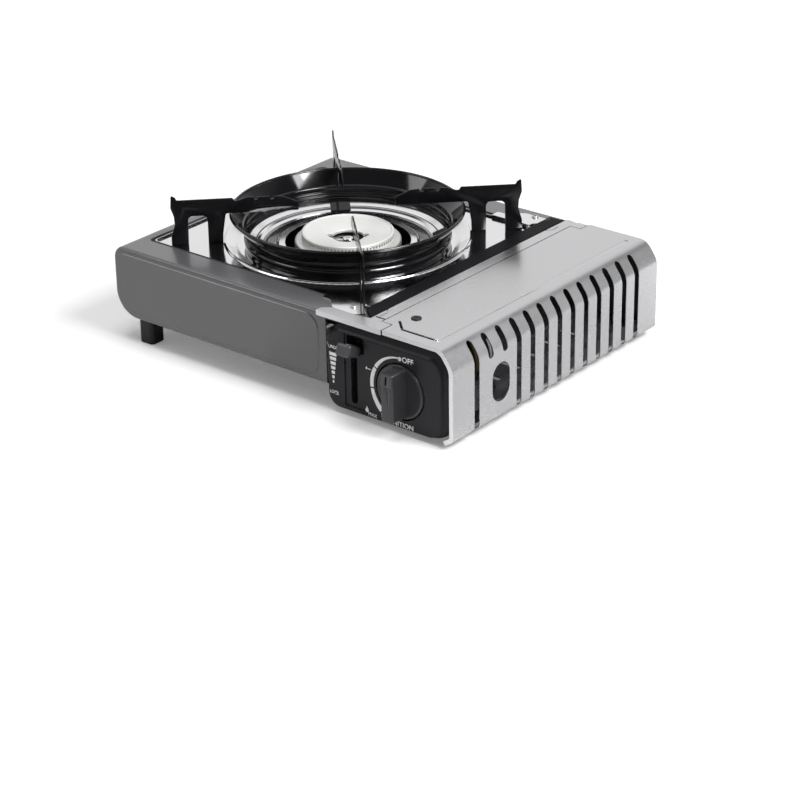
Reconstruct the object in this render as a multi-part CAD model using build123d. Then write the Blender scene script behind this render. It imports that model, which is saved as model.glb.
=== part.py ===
"""Butane cassette stove: a painted steel casing with one burner under a lift-off pan support,
and a cartridge bay under a hinged, slotted stainless lid.

Millimetres. +X to the right, +Y to the back, +Z up; the origin is on the table under the
middle of the whole stove.
"""

from build123d import *
import os
from math import atan2, cos, degrees, hypot, radians, sin, sqrt

os.makedirs("parts", exist_ok=True)

# ---------------------------------------------------------------- overall sizes
stove_width = 340.0
body_depth = 262.0
knob_standout = 16.0
deck_height = 79.0

# ---------------------------------------------------------------- sheet and stock
painted_sheet = 0.9
stainless_sheet = 0.7
tray_sheet = 0.6
enamel_sheet = 1.2
plastic_wall = 2.0
flat_gap = 0.3
running_gap = 0.06

left = -stove_width / 2
right = stove_width / 2
front = knob_standout - (body_depth + knob_standout) / 2
back = front + body_depth
middle_y = (front + back) / 2

# ---------------------------------------------------------------- cartridge and its bay
cartridge_diameter = 67.0
cartridge_length = 187.0
cartridge_end_gap = 11.0
cartridge_side_gap = 2.3
cartridge_lift = 1.5
collar_thickness = 3.0
neck_radius = 16.5
bay_width = 85.7
bay_feet_height = 5.5
bay_feet_size = 16.0
support_spread = 14.0
support_width = 3.0
bay_floor_inset = 10.0
floor_flange = 10.0

bay_left = right - bay_width
bay_floor_top = bay_feet_height + painted_sheet
bay_floor_right = right - bay_floor_inset
cartridge_x = bay_left + painted_sheet + cartridge_side_gap + cartridge_diameter / 2
cartridge_z = bay_floor_top + cartridge_lift + cartridge_diameter / 2

# ---------------------------------------------------------------- lid
strip_width = 10.7
lid_seam_gap = 0.8
lid_shoulder_run = 11.0
lid_shoulder_drop = 14.7
lid_shoulder_bend = 9.0
lid_side_bend = 11.0
lid_bottom_z = 8.5
lid_tuck = 7.5
lid_tuck_drop = 4.8
lid_tuck_bend = 5.0
lid_flange_width = 3.6
lid_notch_width = 10.0
lid_notch_front = 13.0
lid_notch_back = 12.5
hinge_inset = 5.0
hinge_drop = 4.0
pin_radius = 1.5
pin_head_radius = 2.3
eye_radius = 2.8
ear_thickness = 1.0
ear_gap = 0.5
slot_pitch = 17.1
slot_width = 6.0
slot_count = 13
short_slots = (1, 2)
slot_top_drop = 2.7
short_slot_length = 18.0
crease_inset = 22.5
crease_width = 1.2
crease_depth = 0.3
plug_inset = 16.4
plug_setback = 32.0
plug_radius = 4.0
plug_shank_radius = 1.8
sight_hole_width = 21.0
sight_hole_height = 31.0
sight_hole_z = 36.0

lid_top = deck_height + stainless_sheet
lid_seam_x = bay_left + strip_width
lid_notch_x = lid_seam_x + lid_notch_width
lid_shoulder_x = right - lid_shoulder_run
hinge_x = lid_seam_x - hinge_inset
hinge_z = lid_top - hinge_drop
slot_top_z = lid_top - slot_top_drop
first_slot_y = middle_y - slot_pitch * (slot_count - 1) / 2

# ---------------------------------------------------------------- control panel
panel_overlap = 33.7
panel_side_gap = 4.4
panel_top_gap = 4.0
panel_bottom = 4.5
panel_corner = 16.0
panel_depth = 15.0
panel_border = 7.0
panel_face_drop = 1.0
panel_edge_round = 2.5
spindle_shift = 0.5
spindle_drop = 6.9
spindle_radius = 4.0
knob_radius = 21.5
knob_disc_depth = 6.6
knob_grip_width = 12.0
knob_well_depth = 3.0
knob_well_gap = 1.6
channel_inset = 6.8
channel_width = 18.0
channel_top_gap = 6.0
channel_depth = 6.0
lever_slot_width = 4.5
piezo_drop = 9.0
piezo_radius = 4.4
piezo_setback = 10.0
piezo_inset = 5.2

panel_left = bay_left - panel_overlap
panel_right = right - panel_side_gap
panel_top = deck_height - panel_top_gap
bulkhead_y = front + panel_depth
bulkhead_back = bulkhead_y + painted_sheet
knob_x = cartridge_x - spindle_shift
knob_z = cartridge_z - spindle_drop
channel_x = bay_left - channel_inset
channel_top = panel_top - channel_top_gap
piezo_y = front + piezo_setback
piezo_z = knob_z - piezo_drop
piezo_left = bay_left + piezo_inset

# ---------------------------------------------------------------- lock lever and yoke
lever_setback = 38.0
lever_pivot_z = 36.0
lever_reach = 42.0
lever_cap_drop = 11.0
lever_cap_height = 13.0
lever_cap_depth = 10.0
lever_travel = 50.0
lever_arm_thickness = 3.0
lever_shaft_radius = 3.0
lever_hub_radius = 7.0
crank_radius = 9.0
crank_thickness = 2.0
crank_pin_radius = 1.6
yoke_thickness = 2.5
yoke_outer_radius = 25.0
yoke_foot_width = 18.0
yoke_gap = 1.5
yoke_bar_drop = 8.0
yoke_bar_height = 7.0

lever_pivot_y = front + lever_setback
lever_rise = channel_top - lever_cap_drop - lever_pivot_z
lever_slot_top = lever_pivot_z + lever_rise
lever_slot_bottom = lever_pivot_z - lever_rise - 4
yoke_bar_z = lever_pivot_z - yoke_bar_drop
yoke_travel = 2 * crank_radius * sin(radians(lever_travel / 2))

# ---------------------------------------------------------------- regulator and gas path
seat_thickness = 4.0
seat_radius = 24.0
regulator_radius = 16.0
regulator_collar_radius = 21.0
diaphragm_radius = 14.5
diaphragm_reach = 20.0
stem_radius = 4.2
seal_outer_radius = 9.0
seal_inner_radius = 6.5
outlet_setback = 26.0
outlet_radius = 6.0
nozzle_radius = 4.0
mixer_radius = 10.0
mixer_wall = 1.0
mixer_rise = 4.6

seat_y = back - cartridge_length - cartridge_end_gap
outlet_y = seat_y - outlet_setback
mixer_z = cartridge_z + mixer_rise

# ---------------------------------------------------------------- casing
burner_feet_height = 20.5
burner_feet_size = 15.0
upper_corner = 10.0
lower_corner = 22.0
edge_round = 3.0
return_flange = 12.0
emboss = 0.8
field_side_margin = 5.0
field_panel_gap = 7.6
field_edge_margin = 4.3
field_corner = 12.0
recess_drop = 2.6
recess_side = 15.0
recess_end = 25.3
recess_corner = 5.0
opening_margin = 8.9

ledge_z = deck_height - recess_drop
field_right = panel_left - field_panel_gap
recess_left = left + recess_side
recess_half_depth = body_depth / 2 - recess_end
opening_left = recess_left + opening_margin
opening_half_depth = recess_half_depth - opening_margin

# ---------------------------------------------------------------- rail and hinge strip
rail_width = 14.0
rail_thickness = 3.0
rail_point = 11.0
rail_front_margin = 14.0
rail_back_margin = 5.0
strip_arm = 41.8
strip_lip = 3.2
slit_width = 0.9

rail_left = bay_left - rail_width - flat_gap
strip_left = bay_left - strip_arm

# ---------------------------------------------------------------- tray
tray_margin = 3.0
tray_play = 0.2
tray_corner = 4.0
tray_lip = 1.6
tray_rail_gap = 1.0
tab_width = 37.5
tab_shoulder = 7.1
tab_reach = 18.1
tab_screw_inset = 8.5
tab_screw_front = 7.5
tab_screw_back = 15.5
dish_bead = 1.2
dish_depth = 5.5
dish_rim_rise = 2.3

tray_top = ledge_z + tray_sheet
tray_left = recess_left + tray_margin
tray_right = rail_left - tray_rail_gap
tray_half_depth = recess_half_depth - tray_margin - tray_play
opening_right = tray_right - 5.0
dish_floor = tray_top - dish_depth

# ---------------------------------------------------------------- burner
burner_offset = 4.5
bowl_radius = 42.5
bowl_rim_drop = 0.4
bowl_depth_below_tube = 13.0
bowl_lower_radius = 28.0
bowl_wall = 1.5
cap_margin = 5.5
cap_height = 6.4
cap_wall = 2.2
cap_well_radius = 14.0
cap_floor_rise = 2.6
cap_screw_radius = 1.45
port_count = 44
port_width = 1.6
port_height = 2.2
tray_hole_gap = 7.7
electrode_tip_drop = 4.2
ceramic_radius = 2.6
ceramic_top_drop = 6.0

burner_x = (tray_left + tray_right) / 2 + burner_offset
burner_y = middle_y
bowl_rim_z = ledge_z - bowl_rim_drop
bowl_bottom_z = mixer_z - bowl_depth_below_tube
cap_radius = bowl_radius - cap_margin
cap_top_z = bowl_rim_z + cap_height
tray_hole_radius = bowl_radius + tray_hole_gap
electrode_bottom = mixer_z + 1.0
electrode_tip_z = cap_top_z - electrode_tip_drop
ceramic_top = bowl_rim_z - ceramic_top_drop

# ---------------------------------------------------------------- pan support
ring_margin = 8.9
ring_height = 24.4
ring_bead = 1.2
ring_flare = 10.7
ring_flare_height = 12.8
ring_step_height = 7.8
ring_window_height = 3.4
ring_tab_width = 14.0
ring_seat_gap = 0.3
fin_foot_margin = 3.9
fin_inner_radius = 38.5
fin_rim_gap = 0.3
fin_top_rise = 12.9
fin_tip_rise = 4.2

tray_reach = min(tray_half_depth, (tray_right - tray_left) / 2 - burner_offset - 3.5)
ring_radius = tray_reach - ring_margin
ring_wall_radius = ring_radius - ring_flare
ring_top_z = tray_top + ring_height
ring_bottom_z = dish_floor + ring_seat_gap
dish_foot_radius = ring_radius + 4.8
fin_outer_radius = (tray_reach - fin_foot_margin) * sqrt(2)
fin_underside_z = ring_top_z + fin_rim_gap
fin_top_z = ring_top_z + fin_top_rise
fin_tip_z = fin_top_z + fin_tip_rise


# ================================================================ helpers
def block(x0, x1, y0, y1, z0, z1):
    """A box between two corners."""
    size = (x1 - x0, y1 - y0, z1 - z0)
    return Pos((x0 + x1) / 2, (y0 + y1) / 2, (z0 + z1) / 2) * Box(*size)


def rod(radius, start, end):
    """A round bar from one point to another."""
    axis = Vector(*end) - Vector(*start)
    place = Plane(origin=start, z_dir=axis.normalized())
    base = Circle(radius)
    return extrude(place * base, axis.length)


def outline(*corners):
    """A closed face from (x, y, corner radius) points."""
    points = [(x, y) for x, y, _ in corners]
    radii = [r for _, _, r in corners]
    return make_face(FilletPolyline(*points, radius=radii, close=True))


def rectangle(x0, x1, y0, y1, radius):
    """A rounded rectangle between two corners."""
    return outline((x0, y0, radius), (x1, y0, radius), (x1, y1, radius), (x0, y1, radius))


def across(radius, x0, x1, y, z):
    """A round bar along X."""
    return rod(radius, (x0, y, z), (x1, y, z))


def along_depth(radius, x, z, y0, y1):
    """A round bar along Y."""
    return rod(radius, (x, y0, z), (x, y1, z))


def slot(x, y0, y1, width):
    """A round-ended slot along the second axis."""
    return Pos(x, (y0 + y1) / 2) * Rot(0, 0, 90) * SlotOverall(y1 - y0, width)


def folded_sheet(points, radii, thickness):
    """The section of a bent sheet: the line through the points is its outer skin, and its
    thickness lies to the right of the line's direction."""
    normals = []
    for (x0, y0), (x1, y1) in zip(points, points[1:]):
        length = hypot(x1 - x0, y1 - y0)
        normals.append(((y1 - y0) / length, (x0 - x1) / length))
    inner = [(points[0][0] + thickness * normals[0][0], points[0][1] + thickness * normals[0][1])]
    inner_radii = []
    for (x, y), radius, (ax, ay), (bx, by) in zip(points[1:], radii, normals, normals[1:]):
        share = thickness / (1 + ax * bx + ay * by)
        inner.append((x + share * (ax + bx), y + share * (ay + by)))
        turn_right = ax * by - ay * bx < 0
        inner_radii.append(max(radius - thickness, 0) if turn_right else max(radius + thickness, 0))
    end_x, end_y = points[-1]
    inner.append((end_x + thickness * normals[-1][0], end_y + thickness * normals[-1][1]))
    skin = FilletPolyline(*points, radius=list(radii))
    under = FilletPolyline(*inner, radius=inner_radii)
    ends = [Line(skin @ 0, under @ 0), Line(skin @ 1, under @ 1)]
    return make_face(Curve() + skin + under + ends)


def along_x(face, x0, x1):
    """Extrude a face drawn in (y, z)."""
    return Pos(x0, 0, 0) * extrude(Plane.YZ * face, x1 - x0)


def along_y(face, y0, y1):
    """Extrude a face drawn in (x, z)."""
    return Pos(0, y1, 0) * extrude(Plane.XZ * face, y1 - y0)


def along_z(face, z0, z1):
    """Extrude a face drawn in (x, y)."""
    return Pos(0, 0, z0) * extrude(face, z1 - z0)


def turned(face):
    """Turn a section drawn in (radius, z) about the burner's axis."""
    return Pos(burner_x, burner_y, 0) * revolve(Plane.XZ * face, Axis.Z)


def screw(head, length, radius=1.5, head_radius=2.8, head_height=1.6, direction=(0, 0, -1)):
    """A pan-head screw whose head sits on the point, with its shank along the direction."""
    run = Vector(*direction)
    start = Vector(*head)
    shank_end = start + run * length
    head_top = start - run * head_height
    return rod(radius, tuple(start), tuple(shank_end)) + rod(head_radius, tuple(head_top), tuple(start))


# ================================================================ casing
def lid_line():
    """The lid's outer skin from the seam over the shoulder and down to the tucked edge."""
    points = [
        (lid_seam_x, lid_top),
        (lid_shoulder_x, lid_top),
        (right, lid_top - lid_shoulder_drop),
        (right, lid_bottom_z),
        (right - lid_tuck, lid_bottom_z - lid_tuck_drop),
    ]
    return points, (lid_shoulder_bend, lid_side_bend, lid_tuck_bend)


def panel_outline(x0, inset):
    """The outline that the control panel and the back wall of the bay fill inside the lid."""
    right_x = panel_right - inset
    corner = panel_corner - inset
    bottom = panel_bottom + inset
    top = panel_top - inset
    return outline(
        (x0, bottom, corner), (right_x, bottom, corner), (right_x, top, corner), (x0, top, corner)
    )


def casing():
    front_plane = front + emboss
    body = along_y(
        outline(
            (left, burner_feet_height, lower_corner),
            (bay_left, burner_feet_height, 0),
            (bay_left, deck_height, 0),
            (left, deck_height, upper_corner),
        ),
        front_plane,
        back,
    )
    rims = [
        e
        for e in body.faces().sort_by(Axis.Y)[0].edges() + body.faces().sort_by(Axis.Y)[-1].edges()
        if e.center().X < bay_left - 1
    ]
    body = fillet(rims, edge_round)
    inside = along_y(
        outline(
            (left + painted_sheet, burner_feet_height + painted_sheet, lower_corner - painted_sheet),
            (bay_left + 1, burner_feet_height + painted_sheet, 0),
            (bay_left + 1, deck_height - painted_sheet, 0),
            (left + painted_sheet, deck_height - painted_sheet, upper_corner - painted_sheet),
        ),
        front_plane + painted_sheet,
        back - painted_sheet,
    )
    rims = [
        e
        for e in inside.faces().sort_by(Axis.Y)[0].edges()
        + inside.faces().sort_by(Axis.Y)[-1].edges()
        if e.center().X < bay_left
    ]
    inside = fillet(rims, edge_round - painted_sheet)

    def field(inset):
        x0 = left + field_side_margin + inset
        z0 = burner_feet_height + field_edge_margin + inset
        z1 = deck_height - field_edge_margin - inset
        low = lower_corner - field_side_margin
        high = upper_corner - field_side_margin + 1
        x1 = field_right - inset
        return outline((x0, z0, low), (x1, z0, field_corner), (x1, z1, field_corner), (x0, z1, high))

    raised = along_y(field(0), front, front_plane + painted_sheet / 2)
    raised = chamfer(raised.faces().sort_by(Axis.Y)[0].edges(), emboss * 0.8)
    pressed = along_y(field(painted_sheet), front + painted_sheet, front_plane + painted_sheet)
    body = body + raised - inside - pressed

    # the recess round the burner opening, and the ledge that carries the tray
    def recess(grow):
        main = rectangle(
            recess_left - grow,
            bay_left + 5,
            middle_y - recess_half_depth - grow,
            middle_y + recess_half_depth + grow,
            recess_corner + grow,
        )
        rail_bed = rectangle(
            tray_right - 0.5 - grow,
            bay_left + 5,
            front + rail_front_margin - 1 - grow,
            back - rail_back_margin + 1 + grow,
            1 + grow,
        )
        return main + rail_bed

    inside_x = block(left, bay_left, front, back, 0, deck_height)
    pan = along_z(recess(painted_sheet), ledge_z - painted_sheet, deck_height - painted_sheet / 2)
    body = body + (pan & inside_x)
    body = body - along_z(recess(0), ledge_z, deck_height + 1)
    burner_opening = rectangle(
        opening_left,
        opening_right,
        middle_y - opening_half_depth,
        middle_y + opening_half_depth,
        recess_corner,
    )
    body = body - along_z(burner_opening, ledge_z - 5, ledge_z + 1)
    # the bottom is open inside a return flange
    bottom_opening = rectangle(
        left + lower_corner + return_flange,
        bay_left - return_flange,
        front + return_flange + 8,
        back - return_flange - 8,
        6,
    )
    body = body - along_z(bottom_opening, burner_feet_height - 1, burner_feet_height + 2)
    # the front wall stops at the control panel, and the back wall also closes the bay
    body = body - block(
        panel_left - flat_gap, bay_left + 1, front - 1, bulkhead_back + 2, 0, panel_top + flat_gap
    )
    bay_wall = along_y(panel_outline(bay_left - 20, 0), back - painted_sheet, back)
    bay_wall = bay_wall & block(bay_left, right, back - 5, back + 1, bay_feet_height, deck_height)
    body = body + bay_wall
    for x, y in tray_screw_places():
        body = body - rod(1.6, (x, y, ledge_z - 5), (x, y, deck_height + 1))
    for x, y, z in foot_places():
        if z > bay_feet_height:
            body = body - rod(1.6, (x, y, z - 1), (x, y, z + 3))
    pin_hole = rod(pin_radius, (hinge_x, back - 5, hinge_z), (hinge_x, back + 1, hinge_z))
    return body - pin_hole


def tray_screw_places():
    x = tray_right - tab_screw_inset
    tray_front = middle_y - tray_half_depth
    tray_back = middle_y + tray_half_depth
    return [(x, tray_front - tab_screw_front), (x, tray_back + tab_screw_back)]


def foot_places():
    """The underside that each foot meets: x, y, z."""
    return [
        (left + lower_corner + 5, front + 12.0, burner_feet_height),
        (left + lower_corner + 5, back - 12.0, burner_feet_height),
        (bay_floor_right - 12.0, front + 30.0, bay_feet_height),
        (bay_floor_right - 12.0, back - 16.0, bay_feet_height),
    ]


def bottom_plate():
    z0 = burner_feet_height + painted_sheet
    inset = painted_sheet + emboss + edge_round
    plate = along_z(
        rectangle(
            left + lower_corner, bay_left - flat_gap, bulkhead_back + flat_gap, back - inset, 3
        ),
        z0,
        z0 + painted_sheet,
    )
    nose_right = panel_left - 1
    nose_back = bulkhead_back + 2
    nose = block(left + lower_corner, nose_right, front + inset, nose_back, z0, z0 + painted_sheet)
    plate = plate + nose
    for row in range(-3, 4):
        for side in (-1, 1):
            x = burner_x + row * 20.0
            y = middle_y + side * 62.0
            plate = plate - along_z(slot(x, y - 20, y + 20, 5), z0 - 1, z0 + 2)
    for x, y, z in foot_places():
        if z > bay_feet_height:
            plate = plate - rod(1.6, (x, y, z - 1), (x, y, z + 3))
    return plate


# ================================================================ bay
def ear_places():
    """The inner face of each hinge ear's carrier wall and the side the ear lies on."""
    front_ear = bulkhead_back + ear_gap
    back_ear = back - painted_sheet - ear_gap - ear_thickness
    return [front_ear, back_ear]


def hinge_notches():
    """Room for the lid's ears to swing up through the strip and the wall's flange."""
    cuts = Part()
    for y in ear_places():
        cuts = cuts + block(
            hinge_x - hinge_drop - 0.6,
            lid_seam_x + 1,
            y - ear_gap + 0.05,
            y + ear_thickness + ear_gap - 0.05,
            hinge_z - eye_radius,
            lid_top + 1,
        )
    return cuts


def partition_wall():
    x0 = bay_left
    y0 = bulkhead_back
    y1 = back - painted_sheet
    wall = block(x0, x0 + painted_sheet, y0, y1, bay_feet_height, deck_height)
    wall = wall + block(x0, x0 + 5, y0, y1, deck_height - painted_sheet, deck_height)
    wall = wall - rod(mixer_radius + 3, tuple(tube_point(-30)), tuple(tube_point(20)))
    wall = wall - across(lever_shaft_radius + 0.4, x0 - 1, x0 + 2, lever_pivot_y, lever_pivot_z)
    lead = lead_points()[2]
    wall = wall - across(5.0, x0 - 1, x0 + 2, lead[1], lead[2])
    return wall - hinge_notches()


def bay_floor():
    x0 = bay_left + painted_sheet
    floor = block(x0, bay_floor_right, bulkhead_back, back - painted_sheet, bay_feet_height, bay_floor_top)
    flange = block(
        bay_floor_right - painted_sheet,
        bay_floor_right,
        bulkhead_back,
        back - painted_sheet,
        bay_feet_height,
        bay_feet_height + floor_flange,
    )
    floor = floor + flange
    bay_middle = (seat_y + back) / 2
    for step in range(-2, 3):
        y = bay_middle + step * 26.0
        vent = Pos(cartridge_x, y) * SlotOverall(20, 5)
        floor = floor - along_z(vent, bay_feet_height - 1, bay_floor_top + 1)
    for x, y, z in foot_places():
        if z == bay_feet_height:
            floor = floor - rod(1.6, (x, y, z - 1), (x, y, z + 3))
    return floor


def cartridge_supports():
    """Two ribs that the cartridge lies on."""
    drop = cartridge_diameter / 2 + flat_gap
    top = cartridge_z - sqrt(drop**2 - (support_spread - support_width / 2) ** 2)
    outer_top = cartridge_z - sqrt(drop**2 - (support_spread + support_width / 2) ** 2)
    ribs = []
    for side in (-1, 1):
        inner_x = cartridge_x + side * (support_spread - support_width / 2)
        outer_x = cartridge_x + side * (support_spread + support_width / 2)
        section = outline(
            (inner_x, bay_floor_top, 0),
            (outer_x, bay_floor_top, 0),
            (outer_x, outer_top, 0),
            (inner_x, top, 0),
        )
        ribs.append(along_y(section, seat_y + yoke_travel + 24, back - 14))
    return Compound(ribs)


def front_bulkhead():
    plate = along_y(
        outline(
            (panel_left + plastic_wall + 1, panel_bottom + plastic_wall + 1, 8),
            (panel_right - plastic_wall - 2, panel_bottom + plastic_wall + 1, 10),
            (panel_right - plastic_wall - 2, panel_top - plastic_wall, 10),
            (lid_seam_x + 4, deck_height - painted_sheet - flat_gap, 0),
            (bay_left, deck_height - painted_sheet - flat_gap, 0),
            (bay_left, ledge_z - painted_sheet - flat_gap, 0),
            (panel_left + plastic_wall + 1, ledge_z - painted_sheet - flat_gap, 4),
        ),
        bulkhead_y,
        bulkhead_back,
    )
    slot_face = slot(channel_x, lever_slot_bottom - 1, lever_slot_top + 4, lever_slot_width + 2)
    plate = plate - along_y(slot_face, bulkhead_y - 1, bulkhead_back + 1)
    lead = lead_points()[0]
    holes = [
        (spindle_radius + 1, knob_x, knob_z),
        (pin_radius, hinge_x, hinge_z),
        (3.0, lead[0], lead[2]),
    ]
    holes += [(1.6, x, z) for x, z in regulator_screw_places()]
    for radius, x, z in holes:
        plate = plate - along_depth(radius, x, z, bulkhead_y - 1, bulkhead_back + 1)
    return plate


def hinge_pins():
    """Two rivets, set flush in the bulkhead and the back wall and headed inside the ears."""
    front_ear, back_ear = ear_places()
    front_head = front_ear + ear_thickness + flat_gap
    back_head = back_ear - flat_gap
    pins = [
        rod(pin_radius, (hinge_x, bulkhead_y, hinge_z), (hinge_x, front_head, hinge_z))
        + rod(pin_head_radius, (hinge_x, front_head, hinge_z), (hinge_x, front_head + 1.2, hinge_z)),
        rod(pin_radius, (hinge_x, back_head, hinge_z), (hinge_x, back, hinge_z))
        + rod(pin_head_radius, (hinge_x, back_head - 1.2, hinge_z), (hinge_x, back_head, hinge_z)),
    ]
    return Compound(pins)


# ================================================================ deck trim
def hinge_strip():
    """Bare steel: a strip beside the seam and an arm along the front edge of the deck."""
    z0 = deck_height
    edge = lid_seam_x - lid_seam_gap
    notch_edge = lid_notch_x - lid_seam_gap
    arm_back = front + lid_notch_front - 0.6
    tab_front = middle_y - tray_half_depth - tab_reach
    long_strip = block(bay_left, edge, front + emboss, back - 3, z0, lid_top)
    arm = along_z(
        outline(
            (strip_left, front - stainless_sheet, 0),
            (notch_edge, front - stainless_sheet, 0),
            (notch_edge, arm_back, 2),
            (bay_left, arm_back, 0),
            (bay_left - 6, tab_front - flat_gap, 0),
            (strip_left + 6, tab_front - flat_gap, 5),
            (strip_left, front + 5, 3),
        ),
        z0,
        lid_top,
    )
    lip = block(strip_left, notch_edge, front - stainless_sheet, front, deck_height - strip_lip, lid_top)
    rear_tab = block(bay_left, notch_edge, back - lid_notch_back + 0.6, back - 3, z0, lid_top)
    strip = long_strip + arm + lip + rear_tab
    for outward, y in ((1, arm_back + 6.6), (-1, back - lid_notch_back - 6.6)):
        bend = (bay_left + 4.0, y + outward * 8.0)
        path = Polyline((bay_left + 3.2, y), bend, (bay_left - 1.0, y + outward * 14.0))
        strip = strip - along_z(trace(path, line_width=slit_width), z0 - 1, lid_top + 1)
    return strip - hinge_notches()


def hinge_rail():
    """Black enamelled heat shield that covers the tray's edge beside the bay."""
    x0 = rail_left
    x1 = rail_left + rail_width
    y0 = front + rail_front_margin
    y1 = back - rail_back_margin
    shape = outline(
        (x0, y0 + rail_point, 0),
        (x1 - 2, y0, 0),
        (x1, y0 + 1, 0),
        (x1, y1 - 1, 0),
        (x1 - 2, y1, 0),
        (x0, y1 - rail_point, 0),
    )
    rail = along_z(shape, tray_top, tray_top + rail_thickness)
    top_edges = rail.faces().sort_by(Axis.Z)[-1].edges().filter_by(Axis.Y)
    rail = fillet(top_edges, 0.8)
    under = block(tray_right + 2.2, x1 - 1.2, y0 + 12, y1 - 12, tray_top - 1, tray_top + rail_thickness / 2)
    return rail - under


# ================================================================ lid
def lid():
    points, radii = lid_line()
    shell = along_y(folded_sheet(points, radii, stainless_sheet), front, back)
    rim_section = folded_sheet(points, radii, lid_flange_width)
    for y0 in (front, back - stainless_sheet):
        shell = shell + along_y(rim_section, y0, y0 + stainless_sheet)
    # corner notches beside the hinge strip
    shell = shell - block(lid_seam_x - 1, lid_notch_x, front - 1, front + lid_notch_front, 60, lid_top + 1)
    shell = shell - block(lid_seam_x - 1, lid_notch_x, back - lid_notch_back, back + 1, 60, lid_top + 1)
    # vents over the shoulder and down the side
    for index in range(slot_count):
        y = first_slot_y + index * slot_pitch
        low = slot_top_z - short_slot_length if index in short_slots else sight_hole_z
        upper = slot(y, low, slot_top_z, slot_width)
        shell = shell - along_x(upper, lid_shoulder_x - 1, right + 1)
        if index not in short_slots:
            lower = slot(y, 0, sight_hole_z + 10, slot_width)
            shell = shell - along_x(lower, right - 4.0, right + 1)
    hole_y = first_slot_y + 1.7 * slot_pitch
    sight = slot(
        hole_y,
        sight_hole_z - sight_hole_height / 2,
        sight_hole_z + sight_hole_height / 2,
        sight_hole_width,
    )
    shell = shell - along_x(sight, right - 4.0, right + 1)
    # a lanced line across the front and a long crease set off the middle of the top
    crease_x = right - crease_inset
    lance_y = front + 10.2
    lance = Polyline(
        (lid_seam_x + 9.9, lance_y + 10.4), (lid_seam_x + 20.5, lance_y), (crease_x, lance_y)
    )
    lance = trace(lance, line_width=slit_width)
    shell = shell - along_z(lance, lid_top - stainless_sheet - 1, lid_top + 1)
    half = crease_width / 2
    crease = block(
        crease_x - half, crease_x + half, lance_y + 2, back - 10, lid_top - crease_depth, lid_top + 1
    )
    shell = shell - crease
    plug_x, plug_y = plug_place()
    plug_hole = (plug_x, plug_y, lid_top - 3)
    shell = shell - rod(plug_shank_radius + 0.05, plug_hole, (plug_x, plug_y, lid_top + 1))
    # hinge ears hang under the skin and reach back to the pins
    ear = outline(
        (lid_seam_x + 0.3, lid_top - stainless_sheet / 2, 0),
        (lid_seam_x + 11, lid_top - stainless_sheet / 2, 0),
        (lid_seam_x + 5, hinge_z - eye_radius - 1, 2),
        (hinge_x, hinge_z - eye_radius, 0),
        (hinge_x, hinge_z + eye_radius, 0),
        (lid_seam_x + 0.3, hinge_z + eye_radius - 0.4, 0),
    ) + Pos(hinge_x, hinge_z) * Circle(eye_radius)
    ear = ear - Pos(hinge_x, hinge_z) * Circle(pin_radius + running_gap)
    for y in ear_places():
        shell = shell + along_y(ear, y, y + ear_thickness)
    return shell


def plug_place():
    return lid_seam_x + plug_inset, front + plug_setback


def lid_plug():
    """A moulded push-in plug with a dimpled head, at the lid's front corner."""
    x, y = plug_place()
    head = rod(plug_radius, (x, y, lid_top), (x, y, lid_top + 0.8))
    head = fillet(head.edges().sort_by(Axis.Z)[-1], 0.5)
    shank = rod(plug_shank_radius, (x, y, lid_top - 4), (x, y, lid_top))
    barb = rod(plug_shank_radius + 0.5, (x, y, lid_top - 2.4), (x, y, lid_top - 1.0))
    return head + shank + barb - rod(1.0, (x, y, lid_top + 0.4), (x, y, lid_top + 1))


# ================================================================ control panel
def control_panel():
    body = along_y(panel_outline(panel_left, 0), front, bulkhead_y)
    front_face = body.faces().sort_by(Axis.Y)[0]
    body = fillet(front_face.edges(), panel_edge_round)
    face = along_y(panel_outline(panel_left + panel_border, panel_border), front - 1, front + panel_face_drop)
    body = body - face
    well_radius = knob_radius + knob_well_gap
    well_back = front + knob_well_depth
    body = body - along_depth(well_radius, knob_x, knob_z, front - 1, well_back)
    channel_face = outline(
        (channel_x - channel_width / 2, panel_bottom + 4, 1),
        (channel_x + channel_width / 2, panel_bottom + 4, 1),
        (channel_x + channel_width / 2, channel_top, 2),
        (channel_x - channel_width / 2, channel_top, 2),
    )
    body = body - along_y(channel_face, front - 1, front + channel_depth)
    # hollow back, open behind the well, the channel and the face
    skin = panel_face_drop + plastic_wall
    hollow = along_y(panel_outline(panel_left + plastic_wall, plastic_wall), front + skin, bulkhead_y + 1)
    keep_well = along_depth(
        well_radius + plastic_wall, knob_x, knob_z, front, well_back + plastic_wall
    )
    keep_channel = block(
        channel_x - channel_width / 2 - plastic_wall,
        channel_x + channel_width / 2 + plastic_wall,
        front,
        front + channel_depth + plastic_wall,
        panel_bottom,
        channel_top + plastic_wall,
    )
    body = body - (hollow - keep_well - keep_channel)
    lever_slot = slot(channel_x, lever_slot_bottom, lever_slot_top, lever_slot_width)
    body = body - along_y(lever_slot, front, bulkhead_y + 1)
    return body - along_depth(spindle_radius + 0.6, knob_x, knob_z, front, bulkhead_y + 1)


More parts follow.
